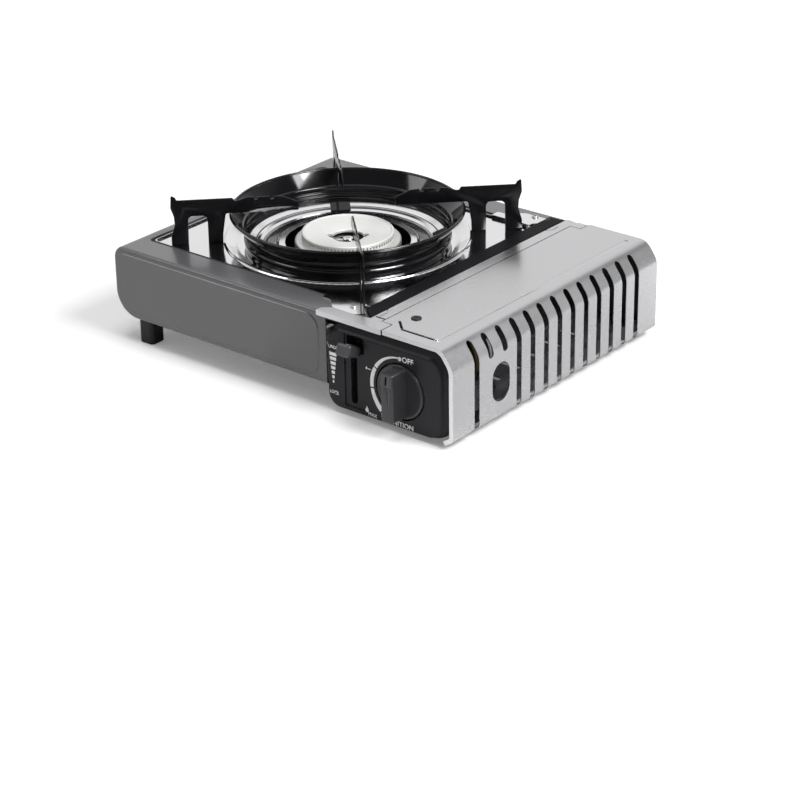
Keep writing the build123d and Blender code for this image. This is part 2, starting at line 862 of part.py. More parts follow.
def control_knob():
    disc_back = front + knob_well_depth - 0.5
    disc_front = disc_back - knob_disc_depth
    disc = rod(knob_radius, (knob_x, disc_back, knob_z), (knob_x, disc_front, knob_z))
    disc = fillet(disc.edges().sort_by(Axis.Y)[0], 1.6)
    grip = outline(
        (knob_x - knob_grip_width / 2, knob_z - knob_radius + 0.7, 3.5),
        (knob_x + knob_grip_width / 2, knob_z - knob_radius + 0.7, 3.5),
        (knob_x + knob_grip_width / 2, knob_z + knob_radius - 1.5, 3.5),
        (knob_x - knob_grip_width / 2, knob_z + knob_radius - 1.5, 3.5),
    )
    grip = along_y(grip, front - knob_standout, disc_front + 1)
    grip = fillet(grip.faces().sort_by(Axis.Y)[0].edges(), 2.2)
    tab_right = knob_x - knob_grip_width / 2 + 1
    tab = rectangle(tab_right - 9.5, tab_right, knob_z + 2.5, knob_z + 13.0, 1.5)
    tab = along_y(tab, disc_front - 2.5, disc_front + 1)
    notch = block(tab_right - 5.5, tab_right - 4.5, disc_front - 3, disc_front - 1, knob_z + 4, knob_z + 11.5)
    socket = along_depth(spindle_radius - 0.5, knob_x, knob_z, front - 6, disc_back + 1)
    return disc + grip + tab - notch - socket


def valve_spindle():
    y_back = bulkhead_back + 10
    y_knob = front + knob_well_depth - 0.5
    stem = rod(spindle_radius, (knob_x, y_back, knob_z), (knob_x, y_knob, knob_z))
    nose = rod(spindle_radius - 0.5, (knob_x, y_knob, knob_z), (knob_x, front - 6, knob_z))
    return stem + nose


def ignition_cam():
    y0 = front + knob_well_depth + plastic_wall + 1.0
    cam = Pos(knob_x, knob_z) * Circle(8.0)
    lobe = Pos(knob_x, knob_z) * Rot(0, 0, 100) * Pos(5.5, 0) * SlotOverall(11, 6)
    section = cam + lobe - Pos(knob_x, knob_z) * Circle(spindle_radius)
    return along_y(section, y0, y0 + 5)


# ================================================================ igniter
def lead_points():
    """The lead's route from the igniter, through the partition and round the bowl."""
    end_x, end_y = electrode_place()
    return [
        (piezo_left + 3.0, piezo_y + piezo_radius + 0.1, piezo_z),
        (piezo_left + 3.0, bulkhead_back + 22.0, piezo_z),
        (bay_left, bulkhead_back + 38.0, piezo_z),
        (bay_left - 29.3, middle_y - 52.0, piezo_z),
        (burner_x + 47.0, middle_y - 48.0, piezo_z),
        (burner_x + 9.0, middle_y - 49.0, piezo_z),
        (burner_x - 29.0, middle_y - 36.0, piezo_z),
        (burner_x - 49.0, middle_y - 8.0, piezo_z),
        (burner_x - 49.0, middle_y + 18.0, piezo_z),
        (end_x, end_y, electrode_bottom - 16.0),
        (end_x, end_y, electrode_bottom),
    ]


def electrode_place():
    reach = (bowl_radius + tray_hole_radius) / 2
    return (burner_x - reach * cos(radians(45)), burner_y + reach * sin(radians(45)))


def piezo_igniter():
    """A piezo cell whose plunger points at the cam."""
    reach = 12.4
    tip_x = knob_x - sqrt(reach**2 - (knob_z - piezo_z) ** 2)
    body = across(piezo_radius, piezo_left, tip_x - 5, piezo_y, piezo_z)
    return body + across(2.0, tip_x - 5, tip_x, piezo_y, piezo_z)


def ignition_lead():
    points = lead_points()
    radii = []
    for a, b, c in zip(points, points[1:], points[2:]):
        into = Vector(*b) - Vector(*a)
        out = Vector(*c) - Vector(*b)
        turn = radians(into.get_angle(out))
        shorter = min(into.length, out.length)
        radii.append(round(0.42 * shorter / (sin(turn / 2) / cos(turn / 2)), 1))
    print("ignition lead arc radii", radii)
    route = FilletPolyline(*points, radius=radii)
    section = Plane(origin=route @ 0, z_dir=route % 0) * Circle(1.2)
    return sweep(section, path=route)


def electrode():
    x, y = electrode_place()
    low = electrode_bottom
    ceramic = rod(ceramic_radius, (x, y, low), (x, y, ceramic_top))
    ceramic = ceramic + rod(ceramic_radius + 0.8, (x, y, low + 7), (x, y, low + 11))
    inward = Vector(burner_x - x, burner_y - y, 0).normalized()
    tip = Vector(x, y, electrode_tip_z) + inward * 4
    wire = rod(0.9, (x, y, ceramic_top), (x, y, electrode_tip_z))
    wire = wire + rod(0.9, (x, y, electrode_tip_z - 0.6), (tip.X, tip.Y, electrode_tip_z + 0.4))
    return ceramic + wire


def electrode_clip():
    """A steel tab that holds the ceramic against the burner bowl."""
    x, y = electrode_place()
    z0 = electrode_bottom + 5.4
    plate = along_z(Circle(ceramic_radius + 2.6) - Circle(ceramic_radius + 0.1), z0, z0 + 1.4)
    reach = hypot(x - burner_x, y - burner_y)
    arm = block(4.6, reach - bowl_lower_radius - 0.4, -3, 3, z0, z0 + 1.4)
    turn = degrees(atan2(burner_y - y, burner_x - x))
    return Pos(x, y, 0) * Rot(0, 0, turn) * (plate + arm)


# ================================================================ lock lever
def lever_cap():
    """The lever's plastic end, drawn at rest in the unlocked place."""
    y = lever_pivot_y - lever_reach
    z = lever_pivot_z + lever_rise
    half = channel_width / 2 - 0.8
    section = outline(
        (y - lever_cap_depth + 1.5, z - 1, 1.5),
        (y - 3, z - lever_cap_height / 2 + 1.5, 3),
        (y + 1, z - lever_cap_height / 2, 1),
        (y + 3.5, z + lever_cap_height / 2 - 3, 1),
        (y + 1.5, z + lever_cap_height / 2, 1),
        (y - lever_cap_depth + 1.5, z + lever_cap_height / 2 - 0.5, 2),
    )
    cap = along_x(section, channel_x - half, channel_x + half)
    return cap - lever_blade()


def lever_blade():
    half = lever_arm_thickness / 2
    y = lever_pivot_y - lever_reach - 4
    z = lever_pivot_z + lever_rise * (lever_reach + 4) / lever_reach
    length = hypot(lever_reach, lever_rise)
    across_y = lever_rise / length * 4
    across_z = lever_reach / length * 4
    face = outline(
        (lever_pivot_y - across_y, lever_pivot_z - across_z, 0),
        (lever_pivot_y + across_y, lever_pivot_z + across_z, 0),
        (y + across_y, z + across_z, 2),
        (y - across_y, z - across_z, 2),
    )
    return along_x(face, channel_x - half, channel_x + half)


def lever_arm():
    hub = across(lever_hub_radius, channel_x - 4, channel_x + 4, lever_pivot_y, lever_pivot_z)
    bore = across(lever_shaft_radius, channel_x - 9, channel_x + 9, lever_pivot_y, lever_pivot_z)
    return lever_blade() + hub - bore


def crank_x():
    return bay_left + painted_sheet + 1.2


def lever_shaft():
    start = channel_x - 6
    x0 = crank_x()
    x1 = x0 + crank_thickness
    shaft = across(lever_shaft_radius, start, x1, lever_pivot_y, lever_pivot_z)
    half_turn = radians(lever_travel / 2)
    pin_y = lever_pivot_y + crank_radius * sin(half_turn)
    pin_z = lever_pivot_z + crank_radius * cos(half_turn)
    web = across(5, x0, x1, lever_pivot_y, lever_pivot_z) + across(3.2, x0, x1, pin_y, pin_z)
    middle = block(x0, x1, -2.8, 2.8, 0, crank_radius)
    middle = Pos(0, lever_pivot_y, lever_pivot_z) * Rot(-lever_travel / 2, 0, 0) * middle
    return shaft + web + middle + across(crank_pin_radius, x0, x1 + 3.5, pin_y, pin_z)


def lever_bracket():
    """A bent steel ear on the bulkhead that carries the lever's shaft beside its hub."""
    x0 = channel_x - 5.6 - painted_sheet
    x1 = x0 + painted_sheet
    low = lever_pivot_z - lever_hub_radius
    high = lever_pivot_z + lever_hub_radius
    ear = block(x0, x1, bulkhead_back, lever_pivot_y + lever_hub_radius, low, high)
    foot = block(x0 - 9, x1, bulkhead_back, bulkhead_back + painted_sheet, low, high)
    hole = across(lever_shaft_radius + running_gap, x0 - 2, x0 + 3, lever_pivot_y, lever_pivot_z)
    return ear + foot - hole


def yoke_plane():
    """The front of the yoke at rest, with the lever up."""
    return seat_y + collar_thickness + yoke_travel + yoke_gap


def locking_yoke():
    y0 = yoke_plane()
    y1 = y0 + yoke_thickness
    ring = Pos(cartridge_x, cartridge_z) * (Circle(yoke_outer_radius) - Circle(neck_radius + 1.5))
    gate = Pos(cartridge_x, cartridge_z + 30) * Rectangle(2 * (neck_radius + 1.5), 60)
    trim = Pos(cartridge_x, cartridge_z + 30 + 14) * Rectangle(80, 60)
    fork = ring - gate - trim
    foot = outline(
        (cartridge_x - yoke_foot_width / 2, bay_floor_top + flat_gap, 0),
        (cartridge_x + yoke_foot_width / 2, bay_floor_top + flat_gap, 0),
        (cartridge_x + yoke_foot_width / 2, cartridge_z - neck_radius - 3, 0),
        (cartridge_x - yoke_foot_width / 2, cartridge_z - neck_radius - 3, 0),
    )
    plate = along_y(fork + foot, y0, y1)
    # the side arm runs forward past the crank, whose pin works in an upright slot
    arm_x0 = crank_x() + crank_thickness + 0.8
    arm_x1 = arm_x0 + 2.0
    pin_y = lever_pivot_y + yoke_travel / 2
    arm = block(arm_x0, arm_x1, pin_y - 5, pin_y + 5, yoke_bar_z, lever_pivot_z + 15)
    arm = arm + block(arm_x0, arm_x1, pin_y - 5, y1, yoke_bar_z, yoke_bar_z + yoke_bar_height)
    bridge = block(
        arm_x0, cartridge_x - neck_radius - 4, y0, y1, yoke_bar_z, yoke_bar_z + yoke_bar_height
    )
    slot_face = slot(pin_y, lever_pivot_z + 5, lever_pivot_z + 12.5, 2 * crank_pin_radius + 0.7)
    arm = arm - along_x(slot_face, arm_x0 - 1, arm_x1 + 1)
    return plate + bridge + arm


def yoke_guide():
    """Two low cheeks on the bay floor that keep the yoke's foot square as it slides."""
    y0 = yoke_plane() - yoke_travel - 3
    y1 = yoke_plane() + yoke_thickness + 3
    cheeks = []
    for side in (-1, 1):
        near = cartridge_x + side * (yoke_foot_width / 2 + flat_gap)
        far = near + side * 2.0
        low, high = sorted((near, far))
        cheeks.append(block(low, high, y0, y1, bay_floor_top, bay_floor_top + 6))
    return Compound(cheeks)


# ================================================================ regulator
def tube_direction():
    start = Vector(cartridge_x, outlet_y, mixer_z)
    end = Vector(burner_x, burner_y, mixer_z)
    return (end - start).normalized()


def tube_point(distance):
    """A point on the gas line, measured from where it crosses the partition."""
    run = tube_direction()
    start = Vector(cartridge_x, outlet_y, mixer_z)
    crossing = (cartridge_x - bay_left) / -run.X
    return start + run * (crossing + distance)


def regulator_screw_places():
    x = cartridge_x + regulator_radius + 3
    return [(x, cartridge_z + 12), (x, cartridge_z - 15)]


def regulator_body():
    y0 = bulkhead_back
    y1 = seat_y - seat_thickness
    centre = (cartridge_x, cartridge_z)
    flange = along_y(
        rectangle(
            cartridge_x - regulator_radius - 2,
            cartridge_x + regulator_radius + 8,
            cartridge_z - regulator_radius - 6,
            cartridge_z + regulator_radius + 4,
            6,
        ),
        y0,
        y0 + 4,
    )
    body = along_depth(regulator_radius, *centre, y0, y1)
    valve = along_depth(9, knob_x, knob_z, y0, y0 + 24)
    collar = along_depth(regulator_collar_radius, *centre, y1 - 4, y1)
    boss = rod(outlet_radius, (cartridge_x, outlet_y, mixer_z), tuple(tube_point(-16)))
    side_end = cartridge_x + diaphragm_reach
    side = across(diaphragm_radius - 1.5, cartridge_x, side_end, y0 + 25, cartridge_z)
    body = flange + body + valve + collar + boss + side
    body = body - along_depth(spindle_radius + running_gap, knob_x, knob_z, y0 - 1, y0 + 10.5)
    body = body - along_depth(stem_radius + 0.4, *centre, y1 - 6, y1 + 1)
    body = body - rod(1.6, tuple(tube_point(-30)), tuple(tube_point(-15)))
    for x, z in regulator_screw_places():
        body = body - along_depth(1.5, x, z, y0 - 1, y0 + 3.5)
    return body


def regulator_cover():
    """The diaphragm's round cover on the regulator's side."""
    y = bulkhead_back + 25
    x0 = cartridge_x + diaphragm_reach
    cover = across(diaphragm_radius, x0, x0 + 5, y, cartridge_z)
    cover = fillet(cover.edges().sort_by(Axis.X)[-1], 1.5)
    return cover + across(7, x0 + 4, x0 + 9, y, cartridge_z)


def regulator_screws():
    pieces = []
    for x, z in regulator_screw_places():
        pieces.append(screw((x, bulkhead_y, z), 4.2, radius=1.45, direction=(0, 1, 0)))
    return Compound(pieces)


def inlet_seat():
    """The plate that the cartridge's collar is pulled against, with its locating key."""
    y0 = seat_y - seat_thickness
    ring = Pos(cartridge_x, cartridge_z) * (Circle(seat_radius) - Circle(stem_radius))
    seat = along_y(ring, y0, seat_y)
    key_top = cartridge_z + seat_radius - 2
    key = block(cartridge_x - 1.5, cartridge_x + 1.5, seat_y - 1, seat_y + 2.5, key_top - 4.5, key_top)
    groove = Pos(cartridge_x, cartridge_z) * (Circle(seal_outer_radius) - Circle(seal_inner_radius))
    return seat + key - along_y(groove, seat_y - 1.6, seat_y + 1)


def inlet_seal():
    ring = Circle(seal_outer_radius - 0.05) - Circle(seal_inner_radius + 0.05)
    ring = Pos(cartridge_x, cartridge_z) * ring
    return along_y(ring, seat_y - 1.6, seat_y + 0.4)


def gas_nozzle():
    """The brass jet screwed into the regulator's outlet."""
    run = tube_direction()
    start = tube_point(-16)
    place = Plane(origin=tuple(start), z_dir=tuple(run))
    hexagon = extrude(place * RegularPolygon(nozzle_radius + 1, 6), 4)
    standing = (Align.CENTER, Align.CENTER, Align.MIN)
    tip = place * Pos(0, 0, 4) * Cone(nozzle_radius - 0.6, 1.8, 8, align=standing)
    return hexagon + tip - rod(0.8, tuple(start), tuple(tube_point(0)))


def mixer_tube():
    """The Venturi tube from the jet to the burner bowl."""
    run = tube_direction()
    start = tube_point(2.5)
    reach = hypot(start.X - burner_x, start.Y - burner_y) - bowl_lower_radius + 4
    place = Plane(origin=tuple(start), z_dir=tuple(run))
    throat = mixer_radius - 3
    section = folded_sheet(
        [(mixer_radius + 1.5, 0), (throat, 14), (throat, 30), (mixer_radius, 70), (mixer_radius, reach)],
        (4, 8, 30),
        -mixer_wall,
    )
    tube = revolve(Plane.XZ * section, Axis.Z)
    tube = place * tube
    low = (burner_x, burner_y, bowl_bottom_z - 5)
    high = (burner_x, burner_y, mixer_z + 2 * mixer_radius)
    return tube - rod(bowl_lower_radius + 0.05, low, high)


# ================================================================ burner
def burner_bowl():
    wall = bowl_wall
    ledge = cap_radius - 4.5
    points = [
        (0, bowl_bottom_z),
        (bowl_lower_radius, bowl_bottom_z),
        (bowl_lower_radius, bowl_rim_z - 18),
        (bowl_radius, bowl_rim_z - 6),
        (bowl_radius, bowl_rim_z),
        (ledge, bowl_rim_z),
    ]
    bowl = turned(folded_sheet(points, (3, 5, 3, 1.6), -wall))
    inlet = rod(mixer_radius - mixer_wall, tuple(tube_point(40)), (burner_x, burner_y, mixer_z))
    bowl = bowl - inlet
    centre = (burner_x, burner_y)
    post = rod(4, (*centre, bowl_bottom_z + wall), (*centre, bowl_rim_z))
    tapped = rod(cap_screw_radius + 0.05, (*centre, bowl_rim_z - 8), (*centre, bowl_rim_z + 1))
    return bowl + post - tapped


def burner_bracket():
    """A hat-shaped strap across the bottom plate that carries the bowl."""
    foot_z = burner_feet_height + 2 * painted_sheet
    strap = folded_sheet(
        [
            (burner_x - 52, foot_z + painted_sheet),
            (burner_x - 38, foot_z + painted_sheet),
            (burner_x - 32, bowl_bottom_z),
            (burner_x + 32, bowl_bottom_z),
            (burner_x + 38, foot_z + painted_sheet),
            (burner_x + 52, foot_z + painted_sheet),
        ],
        (2, 2, 2, 2),
        painted_sheet,
    )
    return along_y(strap, burner_y - 14, burner_y + 14)


def burner_cap():
    """The crowned cap: a ring of flame ports stands on the bowl, a well holds the screw."""
    wall = cap_wall
    crown = 0.8
    skirt_top = cap_top_z - crown
    section = outline(
        (cap_well_radius, cap_top_z, 1.0),
        (cap_well_radius, bowl_rim_z + cap_floor_rise, 0),
        (0, bowl_rim_z + cap_floor_rise, 0),
        (0, bowl_rim_z + 0.6, 0),
        (cap_well_radius + wall, bowl_rim_z + 0.6, 0),
        (cap_well_radius + wall, skirt_top - wall, 0),
        (cap_radius - wall, skirt_top - wall, 0),
        (cap_radius - wall, bowl_rim_z, 0),
        (cap_radius - 0.6, bowl_rim_z, 0),
        (cap_radius - 0.6, bowl_rim_z + port_height + 0.4, 0),
        (cap_radius, bowl_rim_z + port_height + 1.0, 0),
        (cap_radius, skirt_top, 1.2),
        (cap_radius - 6, cap_top_z, 0),
    )
    cap = turned(section)
    half = port_width / 2
    low = bowl_rim_z - 1
    cutter = block(cap_radius - wall - 1, cap_radius + 1, -half, half, low, bowl_rim_z + port_height)
    ports = Part()
    for index in range(port_count):
        ports = ports + Rot(0, 0, index * 360 / port_count) * cutter
    cap = cap - Pos(burner_x, burner_y, 0) * ports
    windows = Part()
    for index in range(4):
        arc = Rot(0, 0, index * 90 + 45) * Pos(9.3, 0, 0) * Box(4.6, 10, 10)
        windows = windows + arc
    cap = cap - Pos(burner_x, burner_y, bowl_rim_z + 2) * windows
    centre = (burner_x, burner_y)
    return cap - rod(cap_screw_radius + 0.15, (*centre, bowl_rim_z - 1), (*centre, cap_top_z))


def cap_screw():
    top = bowl_rim_z + cap_floor_rise
    shank = rod(cap_screw_radius, (burner_x, burner_y, bowl_rim_z - 7), (burner_x, burner_y, top))
    dome = outline(
        (0, top, 0), (4.4, top, 0), (4.4, top + 1.0, 0.6), (2.4, top + 2.6, 1.2), (0, top + 3.0, 0)
    )
    return shank + turned(dome)


# ================================================================ tray
def drip_tray():
    """Bright pressed tray: a flat with a turned-up lip round a raised dish for the burner."""
    y0 = middle_y - tray_half_depth
    y1 = middle_y + tray_half_depth
    flat = along_z(rectangle(tray_left, tray_right, y0, y1, tray_corner), ledge_z, tray_top)
    inner = tray_corner - tray_sheet
    x0 = tray_left + tray_sheet
    x1 = tray_right - tray_sheet
    lip = rectangle(tray_left, tray_right, y0, y1, tray_corner)
    lip = lip - rectangle(x0, x1, y0 + tray_sheet, y1 - tray_sheet, inner)
    lip = along_z(lip, ledge_z, tray_top + tray_lip)
    lip = lip - block(x1 - 3, tray_right + 1, y0 + 3, y1 - 3, tray_top, tray_top + 5)
    tray = flat + lip
    rim_z = dish_floor + dish_rim_rise
    step_z = dish_floor + dish_rim_rise / 2
    dish_points = [
        (dish_foot_radius + 2, tray_top),
        (dish_foot_radius, tray_top),
        (dish_foot_radius - 1, tray_top + dish_bead),
        (dish_foot_radius - 2.6, tray_top + dish_bead),
        (ring_wall_radius + 4, dish_floor),
        (tray_hole_radius + 16, dish_floor),
        (tray_hole_radius + 14.5, step_z),
        (tray_hole_radius + 6.5, step_z),
        (tray_hole_radius + 5, rim_z),
        (tray_hole_radius, rim_z),
    ]
    dish = folded_sheet(dish_points, (1, 1, 1, 5, 1.5, 1.5, 1.5, 1.5), -tray_sheet)
    centre = (burner_x, burner_y)
    tray = tray - rod(dish_foot_radius + 1, (*centre, ledge_z - 1), (*centre, tray_top + 1))
    tray = tray + turned(dish)
    # screw tabs with a swept shoulder lap over the deck at the two right-hand corners
    tab_top = deck_height + tray_sheet
    for y, outward in ((y0, -1), (y1, 1)):
        tab_x = tray_right - 2 - tab_width
        shoulder = y + outward * tab_shoulder
        end = y + outward * tab_reach
        tab = outline(
            (tab_x, y - outward * 1.2, 0),
            (tab_x, shoulder, 2),
            (tab_x + 9.5, shoulder, 8),
            (tab_x + 19, end, 8),
            (tray_right + 1, end, 4),
            (tray_right + 7, end - outward * 6, 1),
            (tray_right - 2, y + outward * 2.5, 1),
            (tray_right - 2, y - outward * 1.2, 0),
        )
        low, high = sorted((y, y - outward * 1.2))
        riser = block(tab_x, tray_right - 2, low, high, ledge_z, tab_top)
        tray = tray + riser + along_z(tab, deck_height, tab_top)
    beside_rail = rail_left - flat_gap
    tray = tray - block(beside_rail, rail_left + rail_width, y0, back, deck_height - 1, tab_top + 1)
    for x, y in tray_screw_places():
        tray = tray - rod(1.6, (x, y, deck_height - 1), (x, y, deck_height + 2))
    return tray


# ================================================================ pan support
def wind_ring():
    """Enamelled wind shield: a flared rim over a stepped wall, which stands in the dish on four
    feet with low air windows between them."""
    step_z = ring_top_z - ring_flare_height
    low_step_z = step_z - ring_step_height
    points = [
        (ring_radius - 0.3, ring_top_z - ring_bead),
        (ring_wall_radius + 1.6, step_z + 0.6),
        (ring_wall_radius, step_z),
        (ring_wall_radius, low_step_z + 0.6),
        (ring_wall_radius - 1.0, low_step_z),
        (ring_wall_radius - 1.0, ring_bottom_z),
    ]
    ring = turned(folded_sheet(points, (0.8, 0.8, 0.5, 0.5), enamel_sheet))
    ring = ring + turned(Pos(ring_radius - ring_bead, ring_top_z - ring_bead) * Circle(ring_bead))
    window = rectangle(
        ring_wall_radius - 5, ring_wall_radius + 5, ring_bottom_z - 1, ring_bottom_z + ring_window_height, 0
    )
    foot_angle = degrees(ring_tab_width / ring_wall_radius)
    window = revolve(Plane.XZ * window, Axis.Z, revolution_arc=90 - foot_angle)
    for quarter in range(4):
        turn = quarter * 90 + 45 + foot_angle / 2
        ring = ring - Pos(burner_x, burner_y, 0) * Rot(0, 0, turn) * window
    return ring


def fin_section():
    """One pan finger in (radius, z)."""
    foot = tray_top
    top = fin_top_z
    notch = top - 2.5
    low = fin_underside_z
    outer = fin_outer_radius
    leg = ring_radius + 2.4
    tip = fin_inner_radius
    return outline(
        (outer - 13.5, foot, 0),
        (outer, foot, 0),
        (outer, foot + 7, 4),
        (outer - 3, foot + 17, 6),
        (outer - 2.6, foot + 24, 6),
        (outer - 0.2, foot + 31, 4),
        (outer - 0.9, fin_tip_z, 0.8),
        (outer - 4.5, fin_tip_z - 2, 0.6),
        (outer - 5.0, top, 1.5),
        (tip + 52.0, top, 0),
        (tip + 50.2, notch, 0.8),
        (tip + 48.1, notch, 1.0),
        (tip + 40.5, top, 2),
        (tip + 35.5, top, 0.5),
        (tip + 34.5, notch, 0.5),
        (tip + 32.5, notch, 0.5),
        (tip + 31.5, top, 0.5),
        (tip + 22.9, top, 0.5),
        (tip + 21.9, notch, 0.5),
        (tip + 19.7, notch, 0.5),
        (tip + 18.7, top, 0.5),
        (tip + 11.5, top - 0.6, 3),
        (tip, top - 5.8, 1),
        (tip, low, 1),
        (leg, low, 2),
        (leg + 2.6, foot + 8, 6),
        (leg + 2.8, foot, 0),
        (outer - 29, foot, 0),
        (outer - 29, low - 1, 4),
        (outer - 13.8, low - 1, 4),
    )


def pan_fin(angle):
    blade = along_y(fin_section(), -enamel_sheet / 2, enamel_sheet / 2)
    return Pos(burner_x, burner_y, 0) * Rot(0, 0, angle) * blade


# ================================================================ feet and fasteners
def foot(x, y, z, size):
    body = along_z(rectangle(x - size / 2, x + size / 2, y - size / 2, y + size / 2, 4), 0, z)
    body = fillet(body.faces().sort_by(Axis.Z)[0].edges(), 1.0)
    return body - rod(1.3, (x, y, z - 3.5), (x, y, z + 1))


def burner_feet():
    return Compound([foot(x, y, z, burner_feet_size) for x, y, z in foot_places()[:2]])


def bay_feet():
    return Compound([foot(x, y, z, bay_feet_size) for x, y, z in foot_places()[2:]])


def foot_screws():
    pieces = []
    for x, y, z in foot_places():
        head = z + painted_sheet * (2 if z > bay_feet_height else 1)
        pieces.append(screw((x, y, head), head - z + 3.3, radius=1.25))
    return Compound(pieces)


def tray_screws():
    head = deck_height + tray_sheet
    return Compound([screw((x, y, head), 5.0, radius=1.4, head_height=1.2) for x, y in tray_screw_places()])


def main():
    pieces = {
        "casing": casing(),
        "bottom_plate": bottom_plate(),
        "partition_wall": partition_wall(),
        "bay_floor": bay_floor(),
        "cartridge_supports": cartridge_supports(),
        "front_bulkhead": front_bulkhead(),
        "hinge_pins": hinge_pins(),
        "hinge_strip": hinge_strip(),
        "heat_rail": hinge_rail(),
        "lid": lid(),
        "lid_plug": lid_plug(),
        "control_panel": control_panel(),
        "control_knob": control_knob(),
        "valve_spindle": valve_spindle(),
        "ignition_cam": ignition_cam(),
        "piezo_igniter": piezo_igniter(),
        "ignition_lead": ignition_lead(),
        "electrode": electrode(),
        "electrode_clip": electrode_clip(),
        "lock_lever_cap": lever_cap(),
        "lever_arm": lever_arm(),
        "lever_shaft": lever_shaft(),
        "lever_bracket": lever_bracket(),
        "locking_yoke": locking_yoke(),
        "yoke_guide": yoke_guide(),
        "regulator_body": regulator_body(),
        "regulator_cover": regulator_cover(),
        "regulator_screws": regulator_screws(),
        "inlet_seat": inlet_seat(),
        "inlet_seal": inlet_seal(),
        "gas_nozzle": gas_nozzle(),
        "mixer_tube": mixer_tube(),
        "burner_bowl": burner_bowl(),
        "burner_bracket": burner_bracket(),
        "burner_cap": burner_cap(),
        "cap_screw": cap_screw(),
        "drip_tray": drip_tray(),
        "tray_screws": tray_screws(),
        "wind_ring": wind_ring(),
        "pan_fin_front_left": pan_fin(225),
        "pan_fin_front_right": pan_fin(315),
        "pan_fin_rear_left": pan_fin(135),
        "pan_fin_rear_right": pan_fin(45),
        "burner_feet": burner_feet(),
        "bay_feet": bay_feet(),
        "foot_screws": foot_screws(),
    }
    for name, shape in pieces.items():
        export_step(shape, f"parts/{name}.step")


main()
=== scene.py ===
"""Butane cassette stove: the looks of its pieces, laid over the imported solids.

Metres. +X to the cartridge bay, +Y to the back, +Z up; the origin is on the table under the
middle of the stove.
"""

import bpy
from math import atan2 as math_turn, cos, pi, radians, sin, tan
from mathutils import Matrix, Vector


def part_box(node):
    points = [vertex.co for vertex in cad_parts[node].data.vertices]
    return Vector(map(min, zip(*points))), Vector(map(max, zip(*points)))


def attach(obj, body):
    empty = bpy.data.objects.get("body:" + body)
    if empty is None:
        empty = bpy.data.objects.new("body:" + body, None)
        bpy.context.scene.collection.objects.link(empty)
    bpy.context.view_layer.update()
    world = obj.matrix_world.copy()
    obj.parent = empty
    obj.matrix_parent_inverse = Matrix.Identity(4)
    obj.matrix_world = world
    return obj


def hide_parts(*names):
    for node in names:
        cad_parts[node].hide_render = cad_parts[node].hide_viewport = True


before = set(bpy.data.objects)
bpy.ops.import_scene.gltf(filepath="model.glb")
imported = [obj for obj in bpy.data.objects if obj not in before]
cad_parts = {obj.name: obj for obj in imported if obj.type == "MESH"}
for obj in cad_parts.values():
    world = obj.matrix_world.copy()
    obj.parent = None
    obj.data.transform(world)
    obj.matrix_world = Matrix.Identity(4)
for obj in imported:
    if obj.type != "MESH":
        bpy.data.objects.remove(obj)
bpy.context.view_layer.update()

bpy.ops.object.select_all(action="DESELECT")
mm = 0.001


# ================================================================ studio
# A pale table with soft lamps over it, seen from the front right and a little above. Lamps are
# small enough for enamel and steel to show them as patches.

camera_turn, camera_rise, camera_roll = radians(39.25), radians(25.53), radians(-0.77)
camera_away = 1.88645
camera_aim = Vector((0.06546, -0.05499, -0.01341))
focal_pixels, frame_pixels, sensor_width = 2455.49, 800, 36


def direction(turn, rise):
    """Unit vector to a place in the studio, turn measured from the front towards the right."""
    return Vector((sin(turn) * cos(rise), -cos(turn) * cos(rise), sin(rise)))


away = direction(camera_turn, camera_rise)
sideways = (-away).cross(Vector((0, 0, 1))).normalized()
upwards = sideways.cross(-away)
across_view = sideways * cos(camera_roll) + upwards * sin(camera_roll)
up_view = upwards * cos(camera_roll) - sideways * sin(camera_roll)

bpy.ops.object.camera_add(location=camera_aim + away * camera_away)
camera = bpy.context.object
camera.name = "camera"
camera.rotation_euler = Matrix((across_view, up_view, away)).transposed().to_euler()
camera.data.sensor_fit = "HORIZONTAL"
camera.data.sensor_width = sensor_width
camera.data.lens = focal_pixels * sensor_width / frame_pixels
bpy.context.scene.camera = camera
bpy.context.scene.view_settings.view_transform = "Standard"


class Shade:
    """A number that varies over a surface. Sums and products of these add their Math nodes."""

    def __init__(self, tree, socket):
        self.tree = tree
        self.socket = socket

    def math(self, operation, *others):
        node = self.tree.nodes.new("ShaderNodeMath")
        node.operation = operation
        for place, value in enumerate((self,) + others):
            put(self.tree, node.inputs[place], value)
        return Shade(self.tree, node.outputs[0])

    def __add__(self, other):
        return self.math("ADD", other)

    __radd__ = __add__

    def __mul__(self, other):
        return self.math("MULTIPLY", other)

    __rmul__ = __mul__

    def __sub__(self, other):
        return self.math("SUBTRACT", other)

    def __rsub__(self, other):
        return (self * -1.0) + other


def put(tree, socket, value):
    """Sets a socket to a number or colour, or links what varies to it."""
    if isinstance(value, Shade):
        tree.links.new(value.socket, socket)
    elif isinstance(value, (tuple, list)) and len(value) == 3 and len(socket.default_value) == 4:
        socket.default_value = (*value, 1.0)
    else:
        socket.default_value = value


